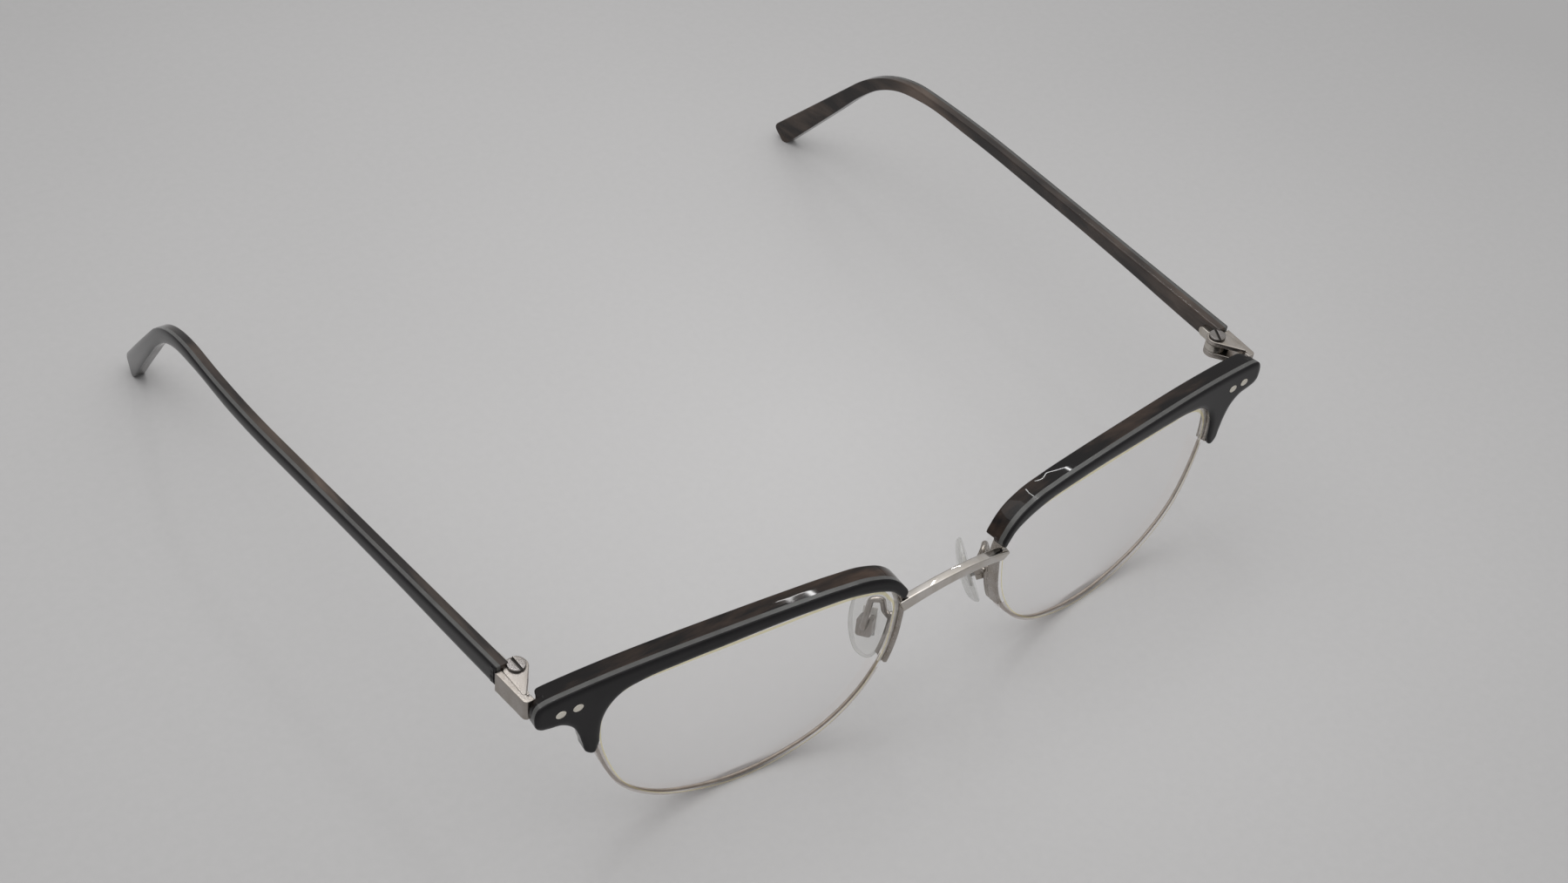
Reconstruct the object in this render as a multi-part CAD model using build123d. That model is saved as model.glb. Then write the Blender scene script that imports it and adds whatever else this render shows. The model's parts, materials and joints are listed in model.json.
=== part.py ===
"""Half-rim eyeglasses.

Laminated acetate brow bars sit on thin metal upper rims. Below, each lens is held only by a
nylon cord in its groove. Millimetres, +Z up, fronts of the lenses towards -Y, wearer's side +Y.
The right-hand half (+X) is modelled and mirrored. The glasses stand on the bottoms of the
lenses and on the two temple tips, at Z = 0.
"""
import os
from math import acos, asin, cos, degrees, radians, sin, sqrt, tan

from build123d import *

os.makedirs("parts", exist_ok=True)

# ---- driving dimensions ------------------------------------------------------------------
MIDDLE_Y = 66.47           # half of the whole depth: the exported frame has its origin there

# the plane of the right lens: its middle, the wrap of the front and its lean to the rear
FACE_X, FACE_Y, FACE_Z = 35.2, 2.55, 16.55
WRAP, LEAN = 6.0, 2.8      # degrees
BEND_FROM = 15.0           # the brow is flat up to here, then bends gently forward
BEND_RADIUS = 260.0

# depths behind the front of the brow
BLACK_DEPTH = 0.4          # front sheet of the laminate
STRIPE_DEPTH = 1.15        # back of the pale middle sheet
PLATE_DEPTH = 2.15         # back of the thin outer end and of the leg
BROW_DEPTH = 3.9           # back of the brown sheet
LIP_DEPTH = 0.6            # lip of the brow in front of the rim

# rim, liner, groove and cord, as depths and as distances outside the lens edge
RIM_FRONT, RIM_BACK = 0.66, 2.54
RIM_INSIDE, RIM_OUTSIDE = 0.05, 0.75
GROOVE_MIDDLE, GROOVE_WIDTH, GROOVE_FLOOR = 1.6, 0.6, 0.55
LINER_OUTSIDE = 0.35
CORD_RADIUS, CORD_SINK = 0.26, 0.28

# lens surfaces
LENS_FRONT, LENS_BACK = 0.42, 2.2
FRONT_CURVE, BACK_CURVE = 500.0, 180.0

# end piece and hinge
PLATE_FRONT, PLATE_BACK = 2.19, 3.19
LEG_THICK, LEG_BOTTOM, LEG_TOP = 1.0, 29.35, 32.95
CORNER_X, CORNER_Y, BUTT_Y = 70.55, 8.3, 15.1
HINGE_X, HINGE_Y = 67.95, 14.7
KNUCKLE_R, PIN_R = 1.7, 0.62
BOTTOM_RING = (29.75, 30.75)
MIDDLE_RING = (30.8, 32.2)
TOP_RING = (32.25, 33.05)
SCREW_HEAD_R, SCREW_HEAD = 1.35, 0.45
RUNNING = 0.03             # radial clearance of a pin in its hole
LEAF_THICK, LEAF_LENGTH, LEAF_HEIGHT, LEAF_AHEAD = 0.7, 2.8, 1.7, 0.9

# temple: seen from above, a straight run that bows inwards; from the side, a bent ear piece
TEMPLE_START_Y = BUTT_Y + 0.15
TEMPLE_X = 71.06
SPLAY = 3.83               # degrees
BOW_FROM, BOW_RADIUS, BOW_ANGLE = 57.0, 258.0, 17.0
TEMPLE_THICK = 2.3
TEMPLE_ROUND = 0.3         # edges, rounded less than the face sheet is thick
TEMPLE_LAYERS = {"face": (0.0, 0.35), "stripe": (0.35, 0.95), "back": (0.95, TEMPLE_THICK)}
CORE_LAYER = (1.25, 2.0)
TOP_Z, TOP_FALL = 33.7, 2.07
STRAIGHT_TO_Y, EAR_RADIUS, EAR_TURN, EAR_LENGTH = 97.0, 26.0, 44.3, 28.04
PADDLE_WIDTH = 4.5

# nose pad: its middle, the way up along it and the way it faces
PAD_MIDDLE = Vector(10.3, 6.7, 16.1)
PAD_UP = Vector(-0.24, 0.28, 0.92).normalized()
PAD_FACES = Vector(-0.87, 0.58, 0.0)
PAD_PIVOT = -1.05          # the pin is this far behind the back of the pad
ARM_RADIUS, ARM_BEND = 0.5, 0.9
ARM_ROOT = (-25.62, 3.3)   # in the lens plane, on the back of the foot
ARM_LEAD = 0.9             # straight run of the wire behind the box
ARM_TOP_FRONT, ARM_TOP_BACK = Vector(10.0, 4.8, 22.5), Vector(11.3, 5.9, 22.3)
FOOT_BACK = 3.3

# ---- outlines in the lens plane: across, up ---------------------------------------------
LENS_OUTLINE = [
    (25.3, 4.2), (25.1, 8.6), (23.5, 12.0), (20.2, 13.9), (14.0, 14.6), (5.0, 14.9), (-4.0, 15.0),
    (-12.0, 14.9), (-18.5, 14.2), (-22.8, 12.7), (-24.9, 9.6), (-25.1, 4.0), (-23.8, -2.0),
    (-20.4, -7.9), (-14.6, -12.85), (-7.0, -15.6), (0.0, -16.43), (7.5, -15.4), (15.1, -12.5),
    (20.7, -7.8), (24.0, -1.2),
]
BROW_OUTLINE = [
    (34.55, 16.3), (33.7, 16.58), (32.4, 16.7), (30.0, 16.75), (20.0, 16.85), (5.0, 16.9),
    (-6.0, 16.8), (-14.0, 16.55), (-19.5, 15.95), (-23.0, 14.55), (-25.2, 12.35), (-25.95, 10.75),
    (-25.3, 9.9), (-24.6, 10.6), (-23.2, 12.0), (-21.0, 13.0), (-17.0, 14.0), (-9.5, 14.45),
    (-3.0, 14.5), (5.0, 14.25), (12.0, 14.05), (18.5, 13.6), (21.4, 12.9), (23.5, 11.2),
    (24.6, 9.0), (24.95, 6.4), (25.1, 4.4), (25.9, 3.1), (27.0, 3.7), (27.7, 5.8), (28.3, 7.9),
    (29.3, 9.9), (31.0, 11.25), (33.2, 11.75), (34.3, 12.1), (35.0, 12.75), (35.25, 13.8),
    (35.25, 14.9), (35.03, 15.7),
]
PAD_OUTLINE = [
    (0.0, 6.2), (2.0, 5.2), (3.15, 2.6), (3.15, -0.8), (2.3, -4.0), (0.5, -6.1), (-1.2, -5.6),
    (-2.8, -2.8), (-3.25, 0.4), (-2.8, 3.6), (-1.55, 5.7),
]
RIVETS = [(31.3, 13.75), (28.6, 13.65)]
SHANK_RADIUS = 0.55
RIVET_HEAD = (0.84, 0.64)  # half width and half height of the oval head


# ---- geometry helpers --------------------------------------------------------------------
def tangent_arc(start, heading, end):
    """Return the arc that leaves start along heading and reaches end, and its last heading."""
    chord = (end - start).normalized()
    along = heading.dot(chord)
    lean = heading - chord * along
    if lean.length < 1e-4:
        return Line(start, end), chord
    sagitta = (end - start).length / 2 * tan(acos(min(1.0, along)) / 2)
    middle = (start + end) / 2 + lean.normalized() * sagitta
    return ThreePointArc(start, middle, end), chord * (2 * along) - heading


def smooth(points, closed=True):
    """Join the points by arcs, two for each span, so that every join is tangent.

    The heading at a point is that of the circle through it and its two neighbours.
    """
    knots = [Vector(*point) for point in points]
    count = len(knots)
    headings = []
    for i in range(count):
        before = knots[i] - knots[i - 1]
        after = knots[(i + 1) % count] - knots[i]
        weighted = before / before.length**2 + after / after.length**2
        headings.append(weighted.normalized())
    if not closed:
        for end, inner in ((0, 1), (-1, -2)):
            chord = (knots[inner] - knots[end]).normalized()
            headings[end] = chord * (2 * chord.dot(headings[inner])) - headings[inner]
    edges = []
    for i in range(count if closed else count - 1):
        j = (i + 1) % count
        gap = knots[j] - knots[i]
        both = headings[i] + headings[j]
        turn = 2 * (1 - headings[i].dot(headings[j]))
        along = gap.dot(both)
        if turn < 1e-7:
            reach = gap.dot(gap) / (2 * along)
        else:
            reach = (sqrt(along**2 + turn * gap.dot(gap)) - along) / turn
        join = (knots[i] + knots[j] + (headings[i] - headings[j]) * reach) / 2
        first, heading = tangent_arc(knots[i], headings[i], join)
        second, _ = tangent_arc(join, heading, knots[j])
        edges += [first, second]
    return edges


def slab(face, near, far):
    """Extrude a face of the lens plane between two depths behind it."""
    return Pos(0, 0, -far) * extrude(face, amount=far - near, dir=(0, 0, 1))


def rectangle(low, high):
    """Return a rectangle between two corners."""
    return Pos((low[0] + high[0]) / 2, (low[1] + high[1]) / 2) * Rectangle(
        high[0] - low[0], high[1] - low[1]
    )


def block(low, high):
    """Return a box between two corners."""
    size = [b - a for a, b in zip(low, high)]
    middle = [(a + b) / 2 for a, b in zip(low, high)]
    return Pos(*middle) * Box(*size)


def rod(x, y, z, radius):
    """Return an upright cylinder between two heights."""
    return Pos(x, y, z[0]) * Cylinder(
        radius, z[1] - z[0], align=(Align.CENTER, Align.CENTER, Align.MIN)
    )


def bent_band(near, far):
    """Return the space between two depths of the brow, flat and then bent forward."""
    reach = asin(23.0 / BEND_RADIUS)
    inner = -32.0

    def at(depth, angle):
        radius = BEND_RADIUS + depth
        return (BEND_FROM + radius * sin(angle), -30, BEND_RADIUS - radius * cos(angle))

    edges = [
        Line((inner, -30, -near), at(near, 0)),
        ThreePointArc(at(near, 0), at(near, reach / 2), at(near, reach)),
        Line(at(near, reach), at(far, reach)),
        ThreePointArc(at(far, reach), at(far, reach / 2), at(far, 0)),
        Line(at(far, 0), (inner, -30, -far)),
        Line((inner, -30, -far), (inner, -30, -near)),
    ]
    return extrude(make_face(edges), amount=60, dir=(0, 1, 0))


def lift(across):
    """Return how far the front of the brow has bent forward at a distance across."""
    past = max(0.0, across - BEND_FROM)
    return BEND_RADIUS - sqrt(BEND_RADIUS**2 - past**2)


wrap, lean = radians(WRAP), radians(LEAN)
FACE = Plane(
    origin=(FACE_X, FACE_Y, FACE_Z),
    x_dir=(cos(wrap), sin(wrap), 0),
    z_dir=(sin(wrap) * cos(lean), -cos(wrap) * cos(lean), sin(lean)),
)
LENS_FACE = make_face(smooth(LENS_OUTLINE))
BROW_FACE = make_face(smooth(BROW_OUTLINE))


# ---- lens, cord, liner and upper rim -----------------------------------------------------
def held_below():
    """Return the part of the lens plane where the cord holds the lens, below the rim's ends."""
    corners = [(-40, -3.2), (-20, -3.2), (20, 3.4), (40, 3.4), (40, -40), (-40, -40)]
    return slab(make_face(Polyline(*corners, close=True)), -5, 12)


def lens():
    """Return the lens: two spherical faces, and a groove all round its edge."""
    blank = slab(LENS_FACE, -2, 6)
    front = Pos(0, 0, -LENS_FRONT - FRONT_CURVE) * Sphere(FRONT_CURVE)
    back = Pos(0, 0, -LENS_BACK - BACK_CURVE) * Sphere(BACK_CURVE)
    groove = offset(LENS_FACE, 2) - offset(LENS_FACE, -GROOVE_FLOOR)
    half = GROOVE_WIDTH / 2
    return (blank & front) - back - slab(groove, GROOVE_MIDDLE - half, GROOVE_MIDDLE + half)


def upper_rim():
    """Return the metal upper rim: a strip over the lens edge with a channel for the liner."""
    strip = offset(LENS_FACE, RIM_OUTSIDE) - offset(LENS_FACE, RIM_INSIDE)
    channel = offset(LENS_FACE, LINER_OUTSIDE + 0.01)
    half = GROOVE_WIDTH / 2 - 0.03
    rim = slab(strip, RIM_FRONT, RIM_BACK)
    rim -= slab(channel, GROOVE_MIDDLE - half, GROOVE_MIDDLE + half)
    return rim - held_below()


def rim_liner():
    """Return the nylon rail that sits in the rim's channel and in the lens groove."""
    rail = offset(LENS_FACE, LINER_OUTSIDE) - offset(LENS_FACE, 0.03 - GROOVE_FLOOR)
    half = GROOVE_WIDTH / 2 - 0.04
    return slab(rail, GROOVE_MIDDLE - half, GROOVE_MIDDLE + half) - held_below()


def lens_cord():
    """Return the nylon cord that lies in the groove of the lens below the rim's ends."""
    loop = offset(LENS_FACE, -CORD_SINK).faces()[0].outer_wire()
    ring = Part()
    for edge in loop.edges():
        start = Plane(origin=edge @ 0, z_dir=edge % 0)
        ring += sweep(start * Circle(CORD_RADIUS), path=edge)
    return (Pos(0, 0, -GROOVE_MIDDLE) * ring) & held_below()


# ---- brow bar ----------------------------------------------------------------------------
def brow_sheet(near, far):
    """Return one sheet of the laminated brow, with the seat of the rim cut away."""
    sheet = slab(BROW_FACE, -4, 8) & bent_band(near, far)
    seat = offset(LENS_FACE, RIM_OUTSIDE + 0.03)
    sheet -= slab(seat, LIP_DEPTH, 9)
    for across, up in RIVETS:
        sheet -= Pos(across, up, -2) * Cylinder(SHANK_RADIUS, 12)
        sheet -= Pos(across, up, lift(across) - 0.25) * extrude(Ellipse(*RIVET_HEAD), amount=2)
    return sheet


def brow_back():
    """Return the brown back sheet: thin at the outer end and leg, cut square at the nose."""
    sheet = brow_sheet(STRIPE_DEPTH, BROW_DEPTH)
    thin = rectangle((33.9, 0), (40, 20)) + rectangle((22, 0), (40, 10.6))
    sheet -= slab(thin, -4, 9) & bent_band(PLATE_DEPTH, 6)
    nose_cut = Pos(-26.25, 8.6) * Rot(0, 0, -33) * Rectangle(6, 4.2)
    sheet -= slab(nose_cut, -4, 9)
    pocket = slab(rectangle((27.3, 12.3), (34, 15.5)), -4, 9)
    return sheet - (pocket & bent_band(PLATE_DEPTH, PLATE_BACK + 0.03))


def brow_rivets():
    """Return the two rivets that clench the brow to the end piece's plate."""
    rivets = Part()
    for across, up in RIVETS:
        top = lift(across)
        shank = Pos(across, up, top - PLATE_BACK / 2) * Cylinder(SHANK_RADIUS, PLATE_BACK)
        head = Pos(across, up, top - 0.25) * extrude(Ellipse(*RIVET_HEAD), amount=0.32)
        rivets += shank + head
    return rivets


# ---- end piece and hinge -----------------------------------------------------------------
def swoosh(z):
    """Return a hinge plate that fills the space between the knuckle and the leg."""
    circle = Pos(HINGE_X, HINGE_Y) * Circle(KNUCKLE_R)
    tip, heel = Pos(69.7, 10.0) * Circle(0.35), Pos(69.75, 14.7) * Circle(0.3)
    tail = make_hull(circle.edges() + tip.edges() + heel.edges())
    return Pos(0, 0, z[0]) * extrude(tail, amount=z[1] - z[0], dir=(0, 0, 1))


def end_piece():
    """Return the metal end piece: a plate behind the brow, bent back beside the hinge."""
    tongue = slab(rectangle((27.4, 12.4), (34.4, 15.4)), -4, 9)
    wing = slab(rectangle((34.05, 12.75), (34.85, 15.7)), -4, 9)
    plate = FACE.location * ((tongue + wing) & bent_band(PLATE_FRONT, PLATE_BACK))
    for across, up in RIVETS:
        plate -= FACE.location * (Pos(across, up, -2) * Cylinder(SHANK_RADIUS, 12))
    corners = [
        (CORNER_X - 1.5, CORNER_Y + 0.1), (CORNER_X, CORNER_Y), (TEMPLE_X, BUTT_Y),
        (TEMPLE_X - LEG_THICK, BUTT_Y), (CORNER_X - LEG_THICK, CORNER_Y + LEG_THICK),
        (CORNER_X - 1.5, CORNER_Y + LEG_THICK),
    ]
    leg = Pos(0, 0, LEG_BOTTOM) * extrude(
        make_face(Polyline(*corners, close=True)), amount=LEG_TOP - LEG_BOTTOM, dir=(0, 0, 1)
    )
    corner = leg.edges().filter_by(Axis.Z).sort_by_distance((CORNER_X, CORNER_Y, 31))[0]
    leg = fillet(corner, 0.8)
    body = plate + leg + swoosh(TOP_RING) + swoosh(BOTTOM_RING)
    body += block((68.75, 9.9, BOTTOM_RING[0]), (69.95, 12.75, TOP_RING[1]))
    return body - rod(HINGE_X, HINGE_Y, (20, 40), PIN_R + RUNNING)


def hinge_screw():
    """Return the slotted hinge screw, from its head down through the bottom knuckle."""
    top = TOP_RING[1] + 0.02
    shank = rod(HINGE_X, HINGE_Y, (BOTTOM_RING[0] - 0.1, top), PIN_R)
    head = rod(HINGE_X, HINGE_Y, (top, top + SCREW_HEAD), SCREW_HEAD_R)
    head = chamfer(head.edges().group_by(Axis.Z)[-1], 0.12)
    slot = Pos(HINGE_X, HINGE_Y, top + SCREW_HEAD) * Rot(0, 0, 62) * Box(4, 0.38, 0.5)
    return shank + head - slot


# ---- temple ------------------------------------------------------------------------------
splay, fall = radians(SPLAY), radians(TOP_FALL)


def plan_band(near, far):
    """Return the space between two distances inside the temple's outer face."""
    inward = Vector(-cos(splay), sin(splay))
    start = Vector(TEMPLE_X, TEMPLE_START_Y)
    ahead = Vector(sin(splay), cos(splay))
    bow = start + ahead * BOW_FROM
    centre = bow + inward * BOW_RADIUS
    turn = radians(BOW_ANGLE)

    def on_bow(depth, angle):
        direction = Vector(cos(angle - splay), sin(angle - splay))
        return centre + direction * (BOW_RADIUS - depth)

    first, last = start - ahead * 3, turn
    edges = [
        Line(first + inward * near, bow + inward * near),
        ThreePointArc(on_bow(near, 0), on_bow(near, last / 2), on_bow(near, last)),
        Line(on_bow(near, last), on_bow(far, last)),
        ThreePointArc(on_bow(far, last), on_bow(far, last / 2), on_bow(far, 0)),
        Line(bow + inward * far, first + inward * far),
        Line(first + inward * far, first + inward * near),
    ]
    return extrude(make_face(edges), amount=50, dir=(0, 0, 1))


def ear_line(depth, length):
    """Return the temple's top line, that much below it: straight, ear bend, straight."""
    fall_end = fall + radians(EAR_TURN)
    down = Vector(-sin(fall), -cos(fall))
    start = Vector(TEMPLE_START_Y, TOP_Z)
    bend = start + Vector(1, -tan(fall)) * (STRAIGHT_TO_Y - TEMPLE_START_Y)
    centre = bend + down * EAR_RADIUS

    def on_bend(angle):
        return centre + Vector(sin(angle), cos(angle)) * (EAR_RADIUS - depth)

    drop = Vector(cos(fall_end), -sin(fall_end)) * length
    return [
        Line(start + down * depth, on_bend(fall)),
        ThreePointArc(on_bend(fall), on_bend((fall + fall_end) / 2), on_bend(fall_end)),
        Line(on_bend(fall_end), on_bend(fall_end) + drop),
    ]


def temple_body():
    """Return the whole temple: its side view cut to its view from above, edges rounded."""
    top = ear_line(0, EAR_LENGTH)
    tip = top[-1] @ 1
    across = Vector(-sin(fall + radians(EAR_TURN)), -cos(fall + radians(EAR_TURN)))
    heel = tip + across * PADDLE_WIDTH
    under = [
        (TEMPLE_START_Y, 30.1), (27, 30.0), (38, 30.05), (50, 29.9), (66, 29.45), (84, 28.95),
        (96.9, 28.6), (104.2, 27.05), (109.0, 24.4), (113.0, 20.7), (118.6, 14.1),
        (124.2, 7.4), (heel.X, heel.Y),
    ]
    bottom = smooth(under, closed=False)
    ends = [Line(tip, heel), Line(top[0] @ 0, under[0])]
    side = make_face(top + bottom + ends)
    corners = side.vertices().sort_by_distance((heel.X + 1.5, heel.Y + 1.5))[:2]
    side = fillet(corners, 1.5)
    solid = Plane.YZ * side
    solid = Pos(60, 0, 0) * extrude(solid, amount=25, dir=(1, 0, 0))
    solid = solid & plan_band(0, TEMPLE_THICK)
    long_edges = [edge for edge in solid.edges() if edge.center().Y > TEMPLE_START_Y + 0.01]
    across_edges = [edge for edge in long_edges if abs((edge % 0.5).X) > 0.9]
    keep = [edge for edge in long_edges if edge not in across_edges]
    return fillet(keep, TEMPLE_ROUND)


def temple_core():
    """Return the flat wire inside the temple, which keeps the ear bend in shape."""
    upper = ear_line(0.5, EAR_LENGTH - 9)
    lower = ear_line(1.35, EAR_LENGTH - 9)
    ends = [Line(upper[0] @ 0, lower[0] @ 0), Line(upper[-1] @ 1, lower[-1] @ 1)]
    wire = Plane.YZ * make_face(upper + lower + ends)
    wire = Pos(60, 0, 0) * extrude(wire, amount=25, dir=(1, 0, 0))
    return (wire & plan_band(*CORE_LAYER)) - rod(HINGE_X, HINGE_Y, (20, 40), 4.4)


def temple_hinge():
    """Return the temple's hinge leaf: a plate on its inner face and the middle knuckle."""
    middle_y = TEMPLE_START_Y + LEAF_LENGTH / 2 + LEAF_AHEAD
    inner = TEMPLE_X + tan(splay) * (middle_y - TEMPLE_START_Y) - TEMPLE_THICK / cos(splay)
    leaf = Box(LEAF_THICK, LEAF_LENGTH, LEAF_HEIGHT, align=(Align.MAX, Align.CENTER, Align.CENTER))
    leaf = fillet(leaf.edges().filter_by(Axis.X), 0.7)
    leaf = Pos(inner - 0.01, middle_y, sum(MIDDLE_RING) / 2) * Rot(0, 0, -SPLAY) * leaf
    neck = block((inner - 0.95, HINGE_Y, MIDDLE_RING[0]), (inner - 0.3, 17.0, MIDDLE_RING[1]))
    ring = rod(HINGE_X, HINGE_Y, MIDDLE_RING, KNUCKLE_R)
    return leaf + neck + ring - rod(HINGE_X, HINGE_Y, (20, 40), PIN_R + RUNNING)


# ---- nose pads ---------------------------------------------------------------------------
faces = (PAD_FACES - PAD_UP * PAD_FACES.dot(PAD_UP)).normalized()
PAD = Plane(origin=PAD_MIDDLE, x_dir=PAD_UP.cross(faces), z_dir=faces)
BOX_BACK = PAD_PIVOT - 1.35


def nose_pad():
    """Return the soft clear pad with the pocket for its insert."""
    pad = extrude(make_face(smooth(PAD_OUTLINE)), amount=2.0, dir=(0, 0, 1))
    dome = Pos(0, 0, 2.0 - 14.0) * Sphere(14.0)
    pad = pad & dome
    return pad - pad_insert()


def pad_insert():
    """Return the metal insert of the pad: a plate in the pad and a tab on the pin."""
    plate = block((-1.1, -2.3, 0.35), (1.1, 2.3, 0.75))
    tab = block((-0.4, -1.0, PAD_PIVOT), (0.4, 1.0, 0.4))
    ring = Pos(0, 0, PAD_PIVOT) * Rot(0, 90, 0) * Cylinder(0.85, 0.8)
    hole = Pos(0, 0, PAD_PIVOT) * Rot(0, 90, 0) * Cylinder(0.33 + RUNNING, 4)
    return plate + tab + ring - hole


def pad_box():
    """Return the small open box on the arm that carries the pad's pin."""
    outer = block((-1.25, -1.5, BOX_BACK), (1.25, 1.5, -0.45))
    outer = fillet(outer.edges().filter_by(Axis.Z), 0.5)
    inner = block((-0.52, -1.6, BOX_BACK + 0.45), (0.52, 1.6, 1))
    hole = Pos(0, 0, PAD_PIVOT) * Rot(0, 90, 0) * Cylinder(0.34, 4)
    return outer - inner - hole


def pad_pin():
    """Return the pin through the box and the insert."""
    return Pos(0, 0, PAD_PIVOT) * Rot(0, 90, 0) * Cylinder(0.33, 2.4)


def pad_arm():
    """Return the wire that rises from its foot on the rim and comes down to the box."""
    strip = offset(LENS_FACE, RIM_OUTSIDE - 0.05) - offset(LENS_FACE, 0.12)
    foot = slab(strip, RIM_BACK + 0.01, FOOT_BACK) & slab(rectangle((-30, -3.4), (-20, 4.6)), -5, 9)
    root = FACE.from_local_coords(Vector(*ARM_ROOT, -FOOT_BACK))
    behind = FACE.from_local_coords(Vector(*ARM_ROOT, -FOOT_BACK - 1.5))
    end = PAD.from_local_coords(Vector(0, 0.2, BOX_BACK))
    before = PAD.from_local_coords(Vector(0, 0.2, BOX_BACK - ARM_LEAD))
    points = [root, behind, ARM_TOP_FRONT, ARM_TOP_BACK, before, end]
    path = FilletPolyline(*points, radius=ARM_BEND)
    start = Plane(origin=path @ 0, z_dir=path % 0)
    return FACE.location * foot + sweep(start * Circle(ARM_RADIUS), path=path)


# ---- bridge ------------------------------------------------------------------------------
def bridge():
    """Return the slim bridge bar, arched up and forward, its ends lapped over the rims."""
    root = Vector(10.05, 0.85, 25.0)
    path = ThreePointArc((-root.X, root.Y, root.Z), (0, 0.13, 27.0), (root.X, root.Y, root.Z))
    start = Plane(origin=path @ 0, x_dir=(0, 1, 0), z_dir=path % 0)
    bar = sweep(start * RectangleRounded(1.55, 2.0, 0.3), path=path)
    taken = slab(offset(LENS_FACE, RIM_OUTSIDE + 0.02), RIM_FRONT - 0.02, 9)
    taken += slab(offset(BROW_FACE, 0.03), -4, 9)
    taken = FACE.location * taken
    return bar - taken - mirror(taken, about=Plane.YZ)


# ---- build and write ---------------------------------------------------------------------
def right_side():
    """Return every part of the right-hand side by name, in the glasses' own frame."""
    parts = {
        "lens": FACE.location * lens(),
        "lens_cord": FACE.location * lens_cord(),
        "rim_liner": FACE.location * rim_liner(),
        "upper_rim": FACE.location * upper_rim(),
        "brow_face": FACE.location * brow_sheet(0, BLACK_DEPTH),
        "brow_stripe": FACE.location * brow_sheet(BLACK_DEPTH, STRIPE_DEPTH),
        "brow_back": FACE.location * brow_back(),
        "brow_rivets": FACE.location * brow_rivets(),
        "end_piece": end_piece(),
        "hinge_screw": hinge_screw(),
        "temple_core": temple_core(),
        "temple_hinge": temple_hinge(),
        "nose_pad": PAD.location * nose_pad(),
        "pad_insert": PAD.location * pad_insert(),
        "pad_box": PAD.location * pad_box(),
        "pad_pin": PAD.location * pad_pin(),
        "pad_arm": pad_arm(),
    }
    whole = temple_body() - rod(HINGE_X, HINGE_Y, (20, 40), KNUCKLE_R + 0.2)
    for name, (near, far) in TEMPLE_LAYERS.items():
        parts["temple_" + name] = (whole & plan_band(near, far)) - parts["temple_core"]
    return parts


def write(name, part):
    """Write one part, moved so that the middle of the glasses is the origin."""
    export_step(Pos(0, -MIDDLE_Y, 0) * part, f"parts/{name}.step")


if __name__ == "__main__":
    for name, part in right_side().items():
        write(name + "_right", part)
        write(name + "_left", mirror(part, about=Plane.YZ))
    write("bridge", bridge())
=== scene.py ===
"""Half rim eyeglasses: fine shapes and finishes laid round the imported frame.

Shapes are worked out in millimetres in the glasses' own frame (+X towards the right end as
seen from the front, -Y towards the front, +Z up, fronts of the lenses near Y = 0), for the
right half, and are mirrored for the left.
"""
import json
from math import asin, cos, pi, radians, sin, tan

import bmesh
import bpy
import numpy as np
from bpy.props import FloatProperty, FloatVectorProperty, PointerProperty
from mathutils import Matrix, Vector


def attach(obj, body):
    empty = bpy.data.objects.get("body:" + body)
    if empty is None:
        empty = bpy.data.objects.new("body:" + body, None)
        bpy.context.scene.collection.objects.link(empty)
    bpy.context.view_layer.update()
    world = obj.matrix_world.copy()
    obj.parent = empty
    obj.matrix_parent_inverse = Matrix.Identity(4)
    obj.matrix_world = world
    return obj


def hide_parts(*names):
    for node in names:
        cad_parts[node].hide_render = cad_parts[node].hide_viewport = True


bl_info = {
    "name": "Half Rim Eyeglasses",
    "version": (1, 0, 0),
    "blender": (4, 5, 0),
    "location": "View3D > Sidebar > Eyeglasses",
    "description": "Builds the finished pieces of half rim eyeglasses round their frame",
    "category": "Add Mesh",
}

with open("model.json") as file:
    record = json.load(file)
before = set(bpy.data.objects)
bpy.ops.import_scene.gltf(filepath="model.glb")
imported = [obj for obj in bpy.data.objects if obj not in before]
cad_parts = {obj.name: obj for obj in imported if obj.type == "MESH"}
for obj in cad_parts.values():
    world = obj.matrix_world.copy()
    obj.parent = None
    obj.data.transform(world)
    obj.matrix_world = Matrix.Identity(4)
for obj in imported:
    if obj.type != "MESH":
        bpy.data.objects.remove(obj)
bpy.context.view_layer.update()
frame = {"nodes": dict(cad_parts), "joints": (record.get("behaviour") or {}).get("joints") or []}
JOINTS = {joint["name"]: joint for joint in frame["joints"]}

# ---- measures shared with the frame, in millimetres ----------------------------------------
MM = 0.001
HINGE_Y = 14.7
HINGE_X = JOINTS["temple_right_fold"]["pos_m"][0] / MM
SHIFT_Y = JOINTS["temple_right_fold"]["pos_m"][1] / MM - HINGE_Y   # the frame's own Y of Y = 0
SIDES = {"right": 1, "left": -1}

WRAP, LEAN = radians(6.0), radians(2.8)
FACE_ORIGIN = np.array((35.2, 2.55, 16.55))
FACE_X = np.array((cos(WRAP), sin(WRAP), 0))
FACE_Z = np.array((sin(WRAP) * cos(LEAN), -cos(WRAP) * cos(LEAN), sin(LEAN)))
FACE_Y = np.cross(FACE_Z, FACE_X)
FACE_AXES = np.stack([FACE_X, FACE_Y, FACE_Z])
BEND_FROM, BEND_RADIUS = 15.0, 260.0

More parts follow.
